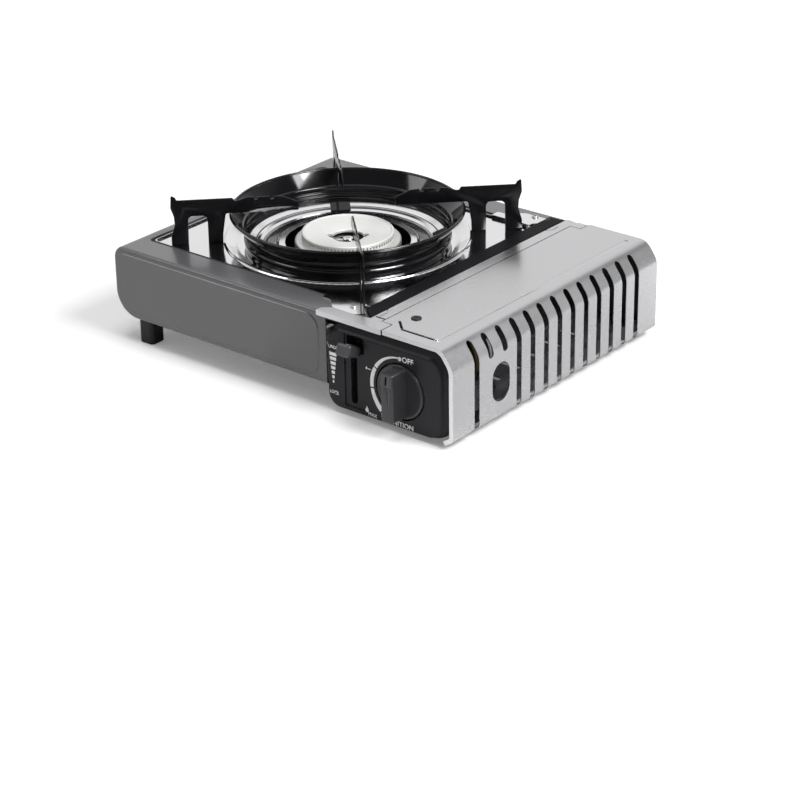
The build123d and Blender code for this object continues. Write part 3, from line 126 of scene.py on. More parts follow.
class Nodes:
    """A node tree, and short ways to add to it."""

    def __init__(self, tree):
        self.tree = tree

    def node(self, kind, settings=None, out=0, **sockets):
        """One node of a kind, its settings made first, then its sockets."""
        node = self.tree.nodes.new("ShaderNode" + kind)
        for name, value in (settings or {}).items():
            if name == "stops":
                ramp = node.color_ramp
                for spot, (position, tone) in enumerate(value):
                    stop = ramp.elements[spot] if spot < 2 else ramp.elements.new(position)
                    stop.position = position
                    stop.color = (tone, tone, tone, 1.0)
            else:
                setattr(node, name, value)
        for name, value in sockets.items():
            put(self.tree, node.inputs[label(name)], value)
        return Shade(self.tree, node.outputs[out])

    def between(self, factor, low, high, start=0.0, end=1.0, curve="LINEAR"):
        """A number that goes from low to high as the factor goes from start to end."""
        return self.node(
            "MapRange", {"interpolation_type": curve},
            value=factor, from_min=start, from_max=end, to_min=low, to_max=high,
        )

    def tint(self, factor, low, high):
        """A colour between two colours."""
        return self.node("Mix", {"data_type": "RGBA"}, out=2, **{"0": factor, "6": low, "7": high})

    def round_turn(self, place):
        """A place's turn round the upright axis, from the front towards the right, as 0 to 1."""
        aside = self.node("SeparateXYZ", vector=place)
        backwards = self.node("SeparateXYZ", out=1, vector=place)
        return self.between(aside.math("ARCTAN2", backwards * -1.0), 0.0, 1.0, -pi, pi)


class Finish(Nodes):
    """A material: its shader's plain settings first, then what varies over the surface."""

    def __init__(self, name, **settings):
        self.material = bpy.data.materials.new(name)
        self.material.use_nodes = True
        super().__init__(self.material.node_tree)
        self.shader = self.tree.nodes["Principled BSDF"]
        self.place = self.node("TexCoord", out=3)
        self.set(**settings)
        if "base_color" in settings:
            self.material.diffuse_color = (*settings["base_color"], 1.0)

    def set(self, **values):
        for name, value in values.items():
            put(self.tree, self.shader.inputs[label(name)], value)

    def noise(self, scale, detail=2.0, roughness=0.5, stretch=None):
        """Noise of about 1 / scale metres, drawn out where a stretch is below 1."""
        spot = self.place
        if stretch:
            spot = self.node("Mapping", vector=spot, scale=stretch)
        return self.node("TexNoise", vector=spot, scale=scale, detail=detail, roughness=roughness)

    def bumps(self, height, depth, under=None):
        """Relief of a depth in metres, over any relief that is there already."""
        more = {} if under is None else {"normal": under}
        return self.node("Bump", height=height, distance=depth, **more)


def label(name):
    """A socket's label, or its place, from a keyword."""
    if name.isdigit():
        return int(name)
    return {"ior": "IOR", "specular_ior_level": "Specular IOR Level"}.get(
        name, name.replace("_", " ").title()
    )


# the table: white to the eye; in polished pieces it is dark at the front right, as a cloth there
# would make it, but for a white spot before the control panel
white, cloth, black = (1.0, 1.0, 1.0), (0.88, 0.88, 0.88), (0.0, 0.0, 0.0)
bpy.ops.mesh.primitive_plane_add(size=16.0)
table = bpy.context.object
table.name = "table"
table_white = Finish("table_white", base_color=cloth, roughness=0.9, specular_ior_level=0.2)
mirrored = table_white.node("ValToRGB", {"stops": [
    (0.0, 1.0), (0.44, 1.0), (0.54, 0.12), (0.66, 0.05), (0.70, 0.58), (0.84, 0.58), (0.90, 1.0)
]}, fac=table_white.round_turn(table_white.place))
from_panel = table_white.node(
    "VectorMath", {"operation": "DISTANCE"}, out=1, **{"0": table_white.place, "1": (0.11, -0.18, 0)}
)
mirrored = table_white.tint(table_white.between(from_panel, 1.0, 0.0, 0.08, 0.15), mirrored, white)
outward = table_white.node("VectorMath", {"operation": "LENGTH"}, out=1, **{"0": table_white.place})
to_the_eye = table_white.node("LightPath", out=0) * table_white.between(outward, 0.30, 1.0, 0.35, 1.6)
table_white.set(
    base_color=table_white.tint(table_white.node("LightPath", out=3), cloth, mirrored),
    emission_color=table_white.tint(to_the_eye, black, white),
    emission_strength=0.55,
)
table.data.materials.append(table_white.material)


def lamp(name, turn, rise, distance, width, height, brightness):
    """A soft lamp that faces the stove; brightness is how white it looks, where 1 is paper."""
    place = direction(radians(turn), radians(rise)) * distance
    bpy.ops.object.light_add(type="AREA", location=place)
    light = bpy.context.object
    light.name = name
    light.data.shape = "RECTANGLE"
    light.data.size = width
    light.data.size_y = height
    light.data.energy = brightness * pi * width * height
    light.rotation_euler = place.to_track_quat("Z", "Y").to_euler()
    return light


lamp("lamp_over", -20, 82, 1.8, 0.9, 0.9, 5.2).visible_glossy = False
lamp("lamp_right", 92, 46, 1.9, 0.88, 0.70, 17.0)
lamp("gleam_right", 90, 47, 1.85, 0.50, 0.60, 30.0).visible_diffuse = False
lamp("lamp_left", -46, 41, 1.9, 0.8, 0.40, 1.7)
lamp("gleam_left", -46, 41, 1.85, 0.8, 0.40, 3.0).visible_diffuse = False

# the tent: white round the sides, where the table goes on for ever, and grey overhead; darker
# cloths hang in it, and a round white panel over and behind the stove
drapes = [
    (-180, 1.0), (-70, 0.9), (-15, 0.50), (10, 0.42), (35, 0.42), (58, 0.36), (64, 1.0), (88, 1.0),
    (93, 0.06), (114, 0.06), (122, 0.85), (130, 0.75), (142, 0.45), (160, 0.45), (172, 0.85), (180, 1.0),
]
world = bpy.data.worlds.new("studio")
world.use_nodes = True
bpy.context.scene.world = world
sky = Nodes(world.node_tree)
look = sky.node("TexCoord")
tent = sky.between(sky.node("SeparateXYZ", out=2, vector=look), 1.0, 0.025, 0.46, 0.72, "SMOOTHSTEP")
hung = sky.node(
    "ValToRGB", {"stops": [((turn + 180) / 360, tone) for turn, tone in drapes]}, fac=sky.round_turn(look)
)
toward_panel = sky.node("VectorMath", {"operation": "DOT_PRODUCT"}, out=1, **{
    "0": look, "1": direction(radians(-141), radians(60))
})
overhead = (tent * hung).math("MAXIMUM", sky.between(toward_panel, 0.0, 1.0, 0.78, 0.90, "SMOOTHSTEP"))
in_metal = sky.node("Mix", **{"0": sky.node("LightPath", out=3), "2": 0.27, "3": overhead})
in_view = sky.node("Mix", **{"0": sky.node("LightPath", out=0), "2": in_metal, "3": 1.0})
put(world.node_tree, world.node_tree.nodes["Background"].inputs["Color"], white)
put(world.node_tree, world.node_tree.nodes["Background"].inputs["Strength"], in_view)


# ================================================================ casing
# Pressed and folded sheet steel in mid-grey stove paint, with an embossed field on its front.
# The paint is a gloss coat that dries with a faint orange peel.

def paint(name, colour, dark, light):
    """Sprayed stove paint: orange peel, and patches that are a little duller."""
    finish = Finish(name, base_color=colour, coat_roughness=0.12)
    patches = finish.noise(9, detail=3)
    peel = finish.noise(420, detail=1.5)
    specks = finish.noise(2600, detail=1)
    finish.set(
        base_color=finish.tint(patches, dark, light),
        roughness=finish.between(patches, 0.24, 0.36),
        coat_weight=finish.between(finish.noise(35), 0.25, 0.45),
        normal=finish.bumps(specks, 0.004 * mm, finish.bumps(peel, 0.03 * mm)),
    )
    return finish.material


grey_paint = paint("grey_paint", (0.078, 0.078, 0.082), (0.072, 0.072, 0.076), (0.084, 0.084, 0.088))


def coat(material, *names):
    """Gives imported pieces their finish."""
    for name in names:
        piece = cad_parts[name]
        piece.data.materials.clear()
        piece.data.materials.append(material)


coat(grey_paint, "casing", "bay_floor")


# ================================================================ plates and brackets
# Bottom plate, partition, cartridge rails, bulkhead, brackets, pins and the lever work: cut from
# zinc-plated sheet, with the plating's faint bluish grain and rolling lines.

def plated(name, colour, lines):
    finish = Finish(name, base_color=colour, metallic=1.0)
    grain = finish.noise(260, detail=4)
    rolled = finish.noise(700, detail=2, stretch=lines)
    blush = finish.noise(14, detail=3)
    finish.set(
        base_color=finish.tint(blush, tuple(c * 0.86 for c in colour), tuple(c * 1.05 for c in colour)),
        roughness=finish.between(grain, 0.30, 0.46),
        normal=finish.bumps(rolled, 0.006 * mm),
    )
    return finish.material


zinc_steel = plated("zinc_steel", (0.55, 0.56, 0.575), (0.04, 1, 1))
coat(
    zinc_steel, "bottom_plate", "partition_wall", "cartridge_supports", "front_bulkhead", "hinge_pins",
    "burner_bracket", "electrode_clip", "lever_arm", "lever_shaft", "lever_bracket", "locking_yoke",
    "yoke_guide", "regulator_cover", "regulator_screws", "foot_screws",
)


# ================================================================ drip tray
# One pressing of bright stainless steel, with a raised bead and a sunk dish round the burner.
# It mirrors what is over it, a little wavy where the press has drawn it.

def bright_steel():
    finish = Finish("mirror_stainless", base_color=(0.78, 0.78, 0.79), metallic=1.0)
    drawn = finish.noise(38, detail=1)
    wiped = finish.noise(900, detail=3, stretch=(0.06, 1, 1))
    film = finish.noise(16, detail=4, roughness=0.6)
    finish.set(
        base_color=finish.tint(film, (0.72, 0.72, 0.73), (0.80, 0.80, 0.81)),
        roughness=finish.between(film, 0.08, 0.15, 0.35, 0.75),
        normal=finish.bumps(wiped, 0.001 * mm, finish.bumps(drawn, 0.010 * mm)),
    )
    return finish.material


mirror_stainless = bright_steel()
coat(mirror_stainless, "drip_tray")


# ================================================================ tray screws
# Cross-recessed pan-head screws, rolled and zinc-plated, one in each tab of the tray.

def pick_faces(piece, wanted):
    """Picks the faces that a test finds, and leaves the piece in edit mode."""
    bpy.ops.object.mode_set(mode="EDIT")
    bpy.ops.mesh.select_mode(type="FACE")
    bpy.ops.mesh.select_all(action="DESELECT")
    bpy.ops.object.mode_set(mode="OBJECT")
    for face in piece.data.polygons:
        face.select = wanted(face)
    bpy.ops.object.mode_set(mode="EDIT")


def break_edges(piece, width, segments=2, sharp=30):
    """Rounds the edges that turn by more than an angle in degrees."""
    bpy.context.view_layer.objects.active = piece
    edge = piece.modifiers.new("edge", "BEVEL")
    edge.width = width
    edge.segments = segments
    edge.limit_method = "ANGLE"
    edge.angle_limit = radians(sharp)
    bpy.ops.object.modifier_apply(modifier="edge")


def cut(piece, cutter):
    """Takes one piece's volume out of another."""
    hole = piece.modifiers.new("hole", "BOOLEAN")
    hole.object = cutter
    hole.operation = "DIFFERENCE"
    bpy.ops.object.select_all(action="DESELECT")
    piece.select_set(True)
    bpy.context.view_layer.objects.active = piece
    bpy.ops.object.modifier_apply(modifier="hole")
    bpy.data.objects.remove(cutter)


def hand_in(piece, material, slot, body, *nodes):
    """A finished piece gets its finish and its body, and stands in for packed ones; its slot is not used."""
    if material:
        piece.data.materials.clear()
        piece.data.materials.append(material)
    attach(piece, body)
    if nodes:
        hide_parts(*nodes)
    piece.select_set(False)


def pan_screw(name, spot, material, slot, head_radius, head_height, shank_length):
    """A pan head on its shank, its top at the spot's height plus the head's."""
    bpy.ops.mesh.primitive_cylinder_add(
        vertices=40, radius=head_radius, depth=head_height, location=(0, 0, head_height / 2)
    )
    screw = bpy.context.object
    screw.name = name
    pick_faces(screw, lambda face: face.normal.z < -0.9)
    bpy.ops.mesh.inset(thickness=head_radius * 0.5)
    bpy.ops.mesh.extrude_region_move(TRANSFORM_OT_translate={"value": (0, 0, -shank_length)})
    bpy.ops.mesh.select_all(action="DESELECT")
    bpy.ops.object.mode_set(mode="OBJECT")
    break_edges(screw, head_height * 0.42, segments=4, sharp=50)
    for turn in (0, pi / 2):
        bpy.ops.mesh.primitive_cube_add(size=1, location=(0, 0, head_height), rotation=(0, 0, turn))
        blade = bpy.context.object
        blade.scale = (head_radius * 1.15, head_radius * 0.24, head_height * 1.1)
        bpy.ops.object.transform_apply(location=True, rotation=True, scale=True)
        cut(screw, blade)
    screw.data.transform(Matrix.Translation(spot))
    bpy.ops.object.shade_smooth_by_angle(angle=radians(35))
    hand_in(screw, material, slot, "stove")
    return screw


low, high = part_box("tray_screws")
screw_x = (low.x + high.x) / 2
head_r, head_tall = 2.8 * mm, 2.2 * mm
for place, screw_y in (("front", low.y + head_r), ("rear", high.y - head_r)):
    tray_screw = pan_screw(
        "tray_screw_" + place, (screw_x, screw_y, high.z - head_tall), zinc_steel, "zinc_steel",
        head_r, head_tall, 3.9 * mm,
    )
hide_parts("tray_screws")


# ================================================================ pan support
# A spun and enamelled wind ring with four pressed fingers that carry the pan. Vitreous enamel
# is glassy and almost black, with fine pitting; the fingers' coat is a little duller.

def enamel(name, low_rough, high_rough, gloss):
    finish = Finish(name, base_color=(0.006, 0.006, 0.007), specular_ior_level=gloss, coat_roughness=0.05)
    flow = finish.noise(55, detail=2)
    pits = finish.noise(1500, detail=2)
    finish.set(
        base_color=finish.tint(flow, (0.004, 0.004, 0.005), (0.009, 0.009, 0.010)),
        roughness=finish.between(flow, low_rough, high_rough),
        normal=finish.bumps(pits, 0.0025 * mm, finish.bumps(flow, 0.02 * mm)),
    )
    return finish.material


ring_enamel = enamel("ring_enamel", 0.05, 0.10, 0.42)
finger_enamel = enamel("finger_enamel", 0.10, 0.16, 0.16)


def curve_through(points, pace=12):
    """A line through (radius, z) points; a third number on a point rounds it by that radius."""
    line = []
    for number, point in enumerate(points):
        if len(point) == 2:
            line.append(Vector(point))
            continue
        here = Vector(point[:2])
        back_way = Vector(points[number - 1][:2]) - here
        on_way = Vector(points[(number + 1) % len(points)][:2]) - here
        half = back_way.angle(on_way) / 2
        reach = min(point[2] / tan(half), back_way.length * 0.49, on_way.length * 0.49)
        radius = reach * tan(half)
        start = here + back_way.normalized() * reach
        end = here + on_way.normalized() * reach
        middle = here + (back_way.normalized() + on_way.normalized()).normalized() * (radius / sin(half))
        steps = max(2, round((pi - 2 * half) / radians(pace)))
        for step in range(steps + 1):
            ray = (start - middle).lerp(end - middle, step / steps)
            line.append(middle + ray.normalized() * radius)
    return line


def turned(name, points, centre, closed=True, sheet=0.0, steps=144, smooth=35):
    """A spun piece from its section in (radius, z), solid or a sheet of a thickness."""
    bpy.ops.object.select_all(action="DESELECT")
    line = curve_through(points)
    bpy.ops.mesh.primitive_circle_add(vertices=len(line), radius=1, fill_type="NOTHING")
    piece = bpy.context.object
    piece.name = name
    for corner, (radius, z) in zip(piece.data.vertices, line):
        corner.co = (centre[0] + radius, centre[1], z)
    bpy.ops.object.mode_set(mode="EDIT")
    if not closed:
        bpy.ops.mesh.select_mode(type="EDGE")
        bpy.ops.mesh.select_all(action="DESELECT")
        bpy.ops.object.mode_set(mode="OBJECT")
        for edge in piece.data.edges:
            edge.select = set(edge.vertices) == {0, len(line) - 1}
        bpy.ops.object.mode_set(mode="EDIT")
        bpy.ops.mesh.delete(type="EDGE_FACE")
        bpy.ops.mesh.select_mode(type="VERT")
    bpy.ops.mesh.select_all(action="SELECT")
    bpy.ops.mesh.spin(steps=steps, angle=2 * pi, center=(centre[0], centre[1], 0), axis=(0, 0, 1))
    bpy.ops.mesh.select_all(action="SELECT")
    bpy.ops.mesh.remove_doubles(threshold=0.005 * mm)
    bpy.ops.mesh.normals_make_consistent(inside=False)
    bpy.ops.object.mode_set(mode="OBJECT")
    if sheet:
        wall = piece.modifiers.new("wall", "SOLIDIFY")
        wall.thickness = sheet
        wall.offset = 0
        bpy.ops.object.modifier_apply(modifier="wall")
        bpy.ops.object.mode_set(mode="EDIT")
        bpy.ops.mesh.select_all(action="SELECT")
        bpy.ops.mesh.normals_make_consistent(inside=False)
        bpy.ops.object.mode_set(mode="OBJECT")
    bpy.ops.object.shade_smooth_by_angle(angle=radians(smooth))
    return piece


low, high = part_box("wind_ring")
burner = ((low.x + high.x) / 2, (low.y + high.y) / 2)
ring_r, ring_z, ring_foot = (high.x - low.x) / 2, high.z, low.z
sheet = 1.2 * mm
ring_wall = ring_r - 10.7 * mm
ring = turned("ring_wall", [
    (ring_r - 1.2 * mm, ring_z - 1.2 * mm),
    (ring_wall + 0.9 * mm, ring_z - 12.2 * mm, 2 * mm),
    (ring_wall - 0.6 * mm, ring_z - 13.0 * mm, 0.8 * mm),
    (ring_wall - 0.6 * mm, ring_z - 16.6 * mm, 1.0 * mm),
    (ring_wall - 1.8 * mm, ring_z - 17.6 * mm, 0.8 * mm),
    (ring_wall - 1.8 * mm, ring_z - 20.6 * mm, 1.0 * mm),
    (ring_wall - 0.9 * mm, ring_z - 21.6 * mm, 0.8 * mm),
    (ring_wall - 0.9 * mm, ring_z - 24.4 * mm, 1.0 * mm),
    (ring_wall - 1.9 * mm, ring_z - 25.4 * mm, 0.8 * mm),
    (ring_wall - 1.6 * mm, ring_foot + 0.1 * mm),
], burner, closed=False, sheet=sheet)
rim_r = 1.2 * mm
rim_turns = [2 * pi * number / 14 for number in range(14)]
rolled_rim = turned("rolled_rim", [
    (ring_r - rim_r + rim_r * cos(turn), ring_z - rim_r + rim_r * sin(turn)) for turn in rim_turns
], burner)
slope_high, slope_low = ring_wall - 2.9 * mm, ring_wall - 14.5 * mm
slope_rise = 5.0 * mm
slope_tilt = Matrix.Rotation(-math_turn(slope_rise, slope_high - slope_low), 4, "Y")
slope_middle = Matrix.Translation(((slope_high + slope_low) / 2, 0, ring_foot + slope_rise / 2 + 0.8 * mm))
tabs = []
for quarter in range(4):
    bpy.ops.mesh.primitive_cube_add(size=1)
    tab = bpy.context.object
    tab.data.transform(Matrix.Diagonal((13 * mm, 16.5 * mm, sheet, 1)))
    tab.data.transform(Matrix.Rotation(radians(45 + 90 * quarter), 4, "Z") @ slope_middle @ slope_tilt)
    tab.data.transform(Matrix.Translation((*burner, 0)))
    break_edges(tab, 0.4 * mm)
    tabs.append(tab)
bpy.ops.object.select_all(action="DESELECT")
for piece in (*tabs, rolled_rim, ring):
    piece.select_set(True)
bpy.context.view_layer.objects.active = ring
bpy.ops.object.join()
hand_in(ring, ring_enamel, "black_enamel", "pan_support", "wind_ring")
dish_slope = turned("dish_slope", [
    (slope_high, ring_foot - 0.2 * mm), (slope_high, ring_foot + slope_rise, 0.8 * mm),
    (slope_high - 1.6 * mm, ring_foot + slope_rise, 1.5 * mm),
    (slope_high - 6.4 * mm, ring_foot + 2.6 * mm, 3 * mm),
    (slope_high - 7.4 * mm, ring_foot + 2.9 * mm, 1 * mm),
    (slope_high - 9.4 * mm, ring_foot + 1.2 * mm, 1.5 * mm),
    (slope_low, ring_foot + 0.3 * mm, 4 * mm), (slope_low - 3 * mm, ring_foot - 0.25 * mm),
], burner)
hand_in(dish_slope, mirror_stainless, "mirror_stainless", "stove")


def edged_copy(name, node, width, segments=2, sharp=30):
    """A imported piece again, its edges broken as a press, a coat of enamel or a deburr leaves them."""
    bpy.ops.object.select_all(action="DESELECT")
    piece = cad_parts[node].copy()
    piece.data = piece.data.copy()
    bpy.context.scene.collection.objects.link(piece)
    piece.name = name
    piece.select_set(True)
    bpy.context.view_layer.objects.active = piece
    bpy.ops.object.mode_set(mode="EDIT")
    bpy.ops.mesh.select_all(action="SELECT")
    bpy.ops.mesh.remove_doubles(threshold=0.01 * mm)
    bpy.ops.mesh.customdata_custom_splitnormals_clear()
    bpy.ops.mesh.dissolve_limited(angle_limit=radians(1.0))
    bpy.ops.object.mode_set(mode="OBJECT")
    break_edges(piece, width, segments, sharp)
    bpy.ops.object.shade_smooth_by_angle(angle=radians(sharp))
    return piece


for corner in ("front_left", "front_right", "rear_left", "rear_right"):
    finger = edged_copy("finger_" + corner, "pan_fin_" + corner, 0.32 * mm)
    hand_in(finger, finger_enamel, "black_enamel", "pan_support", "pan_fin_" + corner)


# ================================================================ burner
# A drawn steel bowl with a light alloy cap pressed over it. The cap is sand-finished and its
# flame ports are milled round its lower edge; one chrome screw holds it.

def alloy(name, colour, metal, rough, sand):
    finish = Finish(name, base_color=colour, metallic=metal)
    grit = finish.noise(1400, detail=3)
    warm = finish.noise(28, detail=3)
    finish.set(
        base_color=finish.tint(
            warm, tuple(c * 0.93 for c in colour), tuple(min(c * 1.03, 0.9) for c in colour)
        ),
        roughness=finish.between(grit, rough - 0.07, rough + 0.09),
        normal=finish.bumps(grit, sand),
    )
    return finish.material


burner_aluminium = alloy("burner_aluminium", (0.70, 0.70, 0.685), 0.35, 0.46, 0.012 * mm)
burner_steel = alloy("burner_steel", (0.66, 0.655, 0.64), 0.8, 0.36, 0.006 * mm)
cast_aluminium = alloy("cast_aluminium", (0.56, 0.56, 0.56), 0.9, 0.52, 0.05 * mm)
coat(burner_steel, "burner_bowl")
# near-black metal as painted shade: the floor under the cap's well and the insides of the flame ports
painted_shade_metal = alloy("painted_shade_metal", (0.035, 0.034, 0.033), 0.7, 0.42, 0.01 * mm)


def upright(name, x, y, radius, z0, z1):
    """A round bar that stands on a place."""
    bpy.ops.object.select_all(action="DESELECT")
    bpy.ops.mesh.primitive_cylinder_add(
        vertices=40, radius=radius, depth=z1 - z0, location=(x, y, (z0 + z1) / 2)
    )
    bar = bpy.context.object
    bar.name = name
    bpy.ops.object.transform_apply(location=True)
    return bar


low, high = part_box("burner_cap")
top, cap_r, throat_r = high.z, 36.9 * mm, 12.6 * mm
flame_ports, port_head, port_foot = 80, 2.3 * mm, 4.9 * mm
crown = turned("crown", [
    (throat_r, top - 5.0 * mm, 0.5 * mm),
    (24 * mm, top - 2.4 * mm, 20 * mm),
    (cap_r - 2.6 * mm, top - 0.9 * mm, 4 * mm),
    (cap_r - 1.5 * mm, top, 0.8 * mm),
    (cap_r, top - 0.5 * mm, 0.9 * mm),
    (cap_r, top - port_head),
    (cap_r, top - port_foot),
    (cap_r, top - 8.0 * mm),
    (cap_r - 2.4 * mm, top - 8.0 * mm),
    (cap_r - 2.4 * mm, top - 3.6 * mm),
    (throat_r, top - 6.8 * mm),
], burner, steps=2 * flame_ports)
eyelets = Vector((0.774, 0.633)) * 13.4 * mm
for side in (-1, 1):
    spot = Vector(burner) + eyelets * side
    cut(crown, upright("eyelet", spot.x, spot.y, 3.3 * mm, top - 9 * mm, top + 1 * mm))
crown.data.materials.clear()
crown.data.materials.append(burner_aluminium)
crown.data.materials.append(painted_shade_metal)


def is_port(face):
    """Every other face of the row of ports."""
    place = face.center - Vector((*burner, 0))
    share_round = (math_turn(place.y, place.x) / (2 * pi)) % 1.0
    outside = Vector((place.x, place.y)).length > cap_r - 0.1 * mm
    in_row = top - port_foot < place.z < top - port_head
    return outside and in_row and int(share_round * 2 * flame_ports) % 2 == 0


pick_faces(crown, is_port)
bpy.ops.mesh.inset(thickness=0.12 * mm, use_individual=True)
bpy.ops.mesh.extrude_faces_move(TRANSFORM_OT_shrink_fatten={"value": -1.6 * mm})
bpy.ops.object.mode_set(mode="OBJECT")
# the ports' sunk faces get the painted shade
for face in crown.data.polygons:
    face.material_index = 1 if face.select else 0
bpy.ops.object.mode_set(mode="EDIT")
bpy.ops.mesh.select_mode(type="VERT")
bpy.ops.object.mode_set(mode="OBJECT")
bpy.ops.object.shade_smooth_by_angle(angle=radians(32))
hand_in(crown, None, "burner_aluminium", "stove", "burner_cap")
collar = turned("collar", [
    (cap_r - 1.4 * mm, top - 7.6 * mm),
    (cap_r - 0.2 * mm, top - 8.6 * mm, 1 * mm),
    (cap_r + 1.0 * mm, top - 10.2 * mm, 3 * mm),
    (cap_r + 3.4 * mm, top - 12.6 * mm, 0.5 * mm),
    (cap_r + 3.4 * mm, top - 13.4 * mm),
    (cap_r - 1.4 * mm, top - 12.0 * mm),
], burner)
hand_in(collar, burner_steel, "burner_steel", "stove")
# a dark floor under the cap's well, painted shade where the well looks down into the bowl
throat = turned("throat", [
    (cap_r - 3 * mm, top - 5.2 * mm), (throat_r + 3.6 * mm, top - 7.2 * mm, 1 * mm),
    (throat_r + 3.2 * mm, top - 12 * mm, 2 * mm), (0.02 * mm, top - 12.4 * mm),
    (0.02 * mm, top - 13 * mm), (throat_r + 4.4 * mm, top - 13 * mm), (throat_r + 4.4 * mm, top - 8 * mm),
    (cap_r - 3 * mm, top - 6.2 * mm),
], burner)
hand_in(throat, painted_shade_metal, "burner_steel", "stove")
bpy.ops.mesh.primitive_cube_add(size=1)
strap = bpy.context.object
strap.name = "strap"
strap.data.transform(Matrix.Diagonal((31 * mm, 3.6 * mm, 1.4 * mm, 1)))
strap.data.transform(Matrix.Rotation(radians(12), 4, "Z"))
strap.data.transform(Matrix.Translation((*burner, top - 9.6 * mm)))
break_edges(strap, 0.5 * mm, segments=3)
bpy.ops.object.shade_smooth_by_angle(angle=radians(35))
hand_in(strap, burner_steel, "burner_steel", "stove")
coat(cast_aluminium, "mixer_tube")
# the regulator body's casting is darkened as painted shade, so that it reads black through the lid's slots
casting_in_painted_shade = alloy("casting_in_painted_shade", (0.10, 0.10, 0.10), 0.8, 0.52, 0.05 * mm)
coat(casting_in_painted_shade, "regulator_body")


def polished(name, colour, rough):
    finish = Finish(name, base_color=colour, metallic=1.0)
    haze = finish.noise(300, detail=2)
    finish.set(
        roughness=finish.between(haze, rough, rough * 2.2),
        base_color=finish.tint(haze, tuple(c * 0.92 for c in colour), colour),
    )
    return finish.material


chrome = polished("chrome", (0.82, 0.82, 0.83), 0.05)
brass = polished("brass", (0.72, 0.50, 0.21), 0.22)
crown_screw = pan_screw(
    "crown_screw", (*burner, top - 8.9 * mm), chrome, "chrome", 4.3 * mm, 2.7 * mm, 5.0 * mm
)
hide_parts("cap_screw")
# the inlet seat's brass is darkened as painted shade, so that it reads black through the lid's slots
brass_in_painted_shade = polished("brass_in_painted_shade", (0.09, 0.07, 0.035), 0.30)
coat(brass, "gas_nozzle", "valve_spindle")
coat(brass_in_painted_shade, "inlet_seat")


# ================================================================ electrode, igniter and lead
# A glazed ceramic rod with a bare wire tip beside the cap, a white acetal piezo behind the knob,
# and a silicone lead that joins them under the tray, coloured near-black as painted shade where it shows
# through the gap at the top of the panel.

def moulded(name, colour, rough, grain, depth, gloss=0.5):
    """Injection moulding with a spark-eroded grain."""
    finish = Finish(name, base_color=colour, specular_ior_level=gloss)
    texture = finish.noise(grain, detail=2, roughness=0.6)
    rubbed = finish.noise(22, detail=3)
    finish.set(
        base_color=finish.tint(rubbed, tuple(c * 0.9 for c in colour), tuple(c * 1.12 for c in colour)),
        roughness=finish.between(rubbed, rough - 0.05, rough + 0.06),
        normal=finish.bumps(texture, depth),
    )
    return finish.material


ceramic = moulded("ceramic", (0.74, 0.73, 0.70), 0.18, 500, 0.003 * mm)
white_plastic = moulded("white_plastic", (0.66, 0.66, 0.64), 0.38, 1200, 0.004 * mm)
# the lead's near-black is painted shade, for where it shows at the top of the panel
lead_rubber = moulded("lead_rubber", (0.02, 0.02, 0.02), 0.46, 1600, 0.006 * mm)
rubber = moulded("rubber", (0.014, 0.014, 0.014), 0.62, 1800, 0.01 * mm)
coat(ceramic, "electrode")
coat(white_plastic, "piezo_igniter", "ignition_cam")
coat(lead_rubber, "ignition_lead")
coat(rubber, "inlet_seal")


# ================================================================ rail and hinge strip
# An enamelled flat bar between tray and bay, and beside it the satin steel strip that the lid
# turns on, folded over the front edge in a narrow lip.

rail_enamel = enamel("rail_enamel", 0.40, 0.50, 0.03)
coat(rail_enamel, "heat_rail")


def satin_steel():
    """Stainless sheet with a fine satin grain along the stove and a film of handling marks."""
    finish = Finish("satin_stainless", base_color=(0.56, 0.56, 0.57), metallic=1.0)
    grain = finish.noise(1500, detail=3, stretch=(1, 0.02, 1))
    cloud = finish.noise(11, detail=4, roughness=0.6)
    finish.set(
        base_color=finish.tint(cloud, (0.54, 0.54, 0.55), (0.59, 0.59, 0.60)),
        roughness=finish.between(cloud, 0.22, 0.33, 0.3, 0.75) + finish.between(grain, -0.03, 0.03),
        normal=finish.bumps(grain, 0.0001 * mm),
    )
    return finish.material


satin_stainless = satin_steel()
coat(satin_stainless, "hinge_strip")


# ================================================================ lid
# Satin stainless sheet with thirteen slots sheared over its shoulder and rolled in at the foot.
# A lanced line and a rivet cross its front, and a push-in plug fills the corner hole.

low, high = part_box("lid")
lid_top, lid_side = high.z, high.x
shoulder_x, shoulder_z = lid_side - 11 * mm, lid_top - 14.7 * mm


def even_shading(piece, sharp):
    """Smooth shading between the edges sharper than an angle, with the flats kept flat."""
    bpy.ops.object.shade_smooth_by_angle(angle=radians(sharp))
    even = piece.modifiers.new("even", "WEIGHTED_NORMAL")
    even.keep_sharp = True
    bpy.ops.object.modifier_apply(modifier="even")


def arc_length(line):
    """How far along the line each of its points lies."""
    far = [0.0]
    for one, other in zip(line, line[1:]):
        far.append(far[-1] + (other - one).length)
    return far


def spot_on(line, far, reach):
    """A place on the line, and the line's normal there, away from the sheet."""
    for number in range(len(line) - 1):
        if reach <= far[number + 1] or number == len(line) - 2:
            run = line[number + 1] - line[number]
            place = line[number] + run * ((reach - far[number]) / run.length)
            return place, Vector((-run.y, run.x)).normalized()


def nearest_on(line, far, place):
    """Where along the line a place lies, and its distance from it."""
    best = None
    for number in range(len(line) - 1):
        run = line[number + 1] - line[number]
        share = min(max((place - line[number]).dot(run) / run.length_squared, 0.0), 1.0)
        gap = place - (line[number] + run * share)
        if best is None or gap.length < best[0]:
            best = (gap.length, far[number] + share * run.length)
    return best[1], best[0]


def skin(upper_bend, lower_bend):
    """The lid's outer skin over its shoulder, as a fine line."""
    return curve_through([
        (shoulder_x - 14 * mm, lid_top), (shoulder_x, lid_top, upper_bend),
        (lid_side, shoulder_z, lower_bend), (lid_side, shoulder_z - 12 * mm),
    ], pace=2)


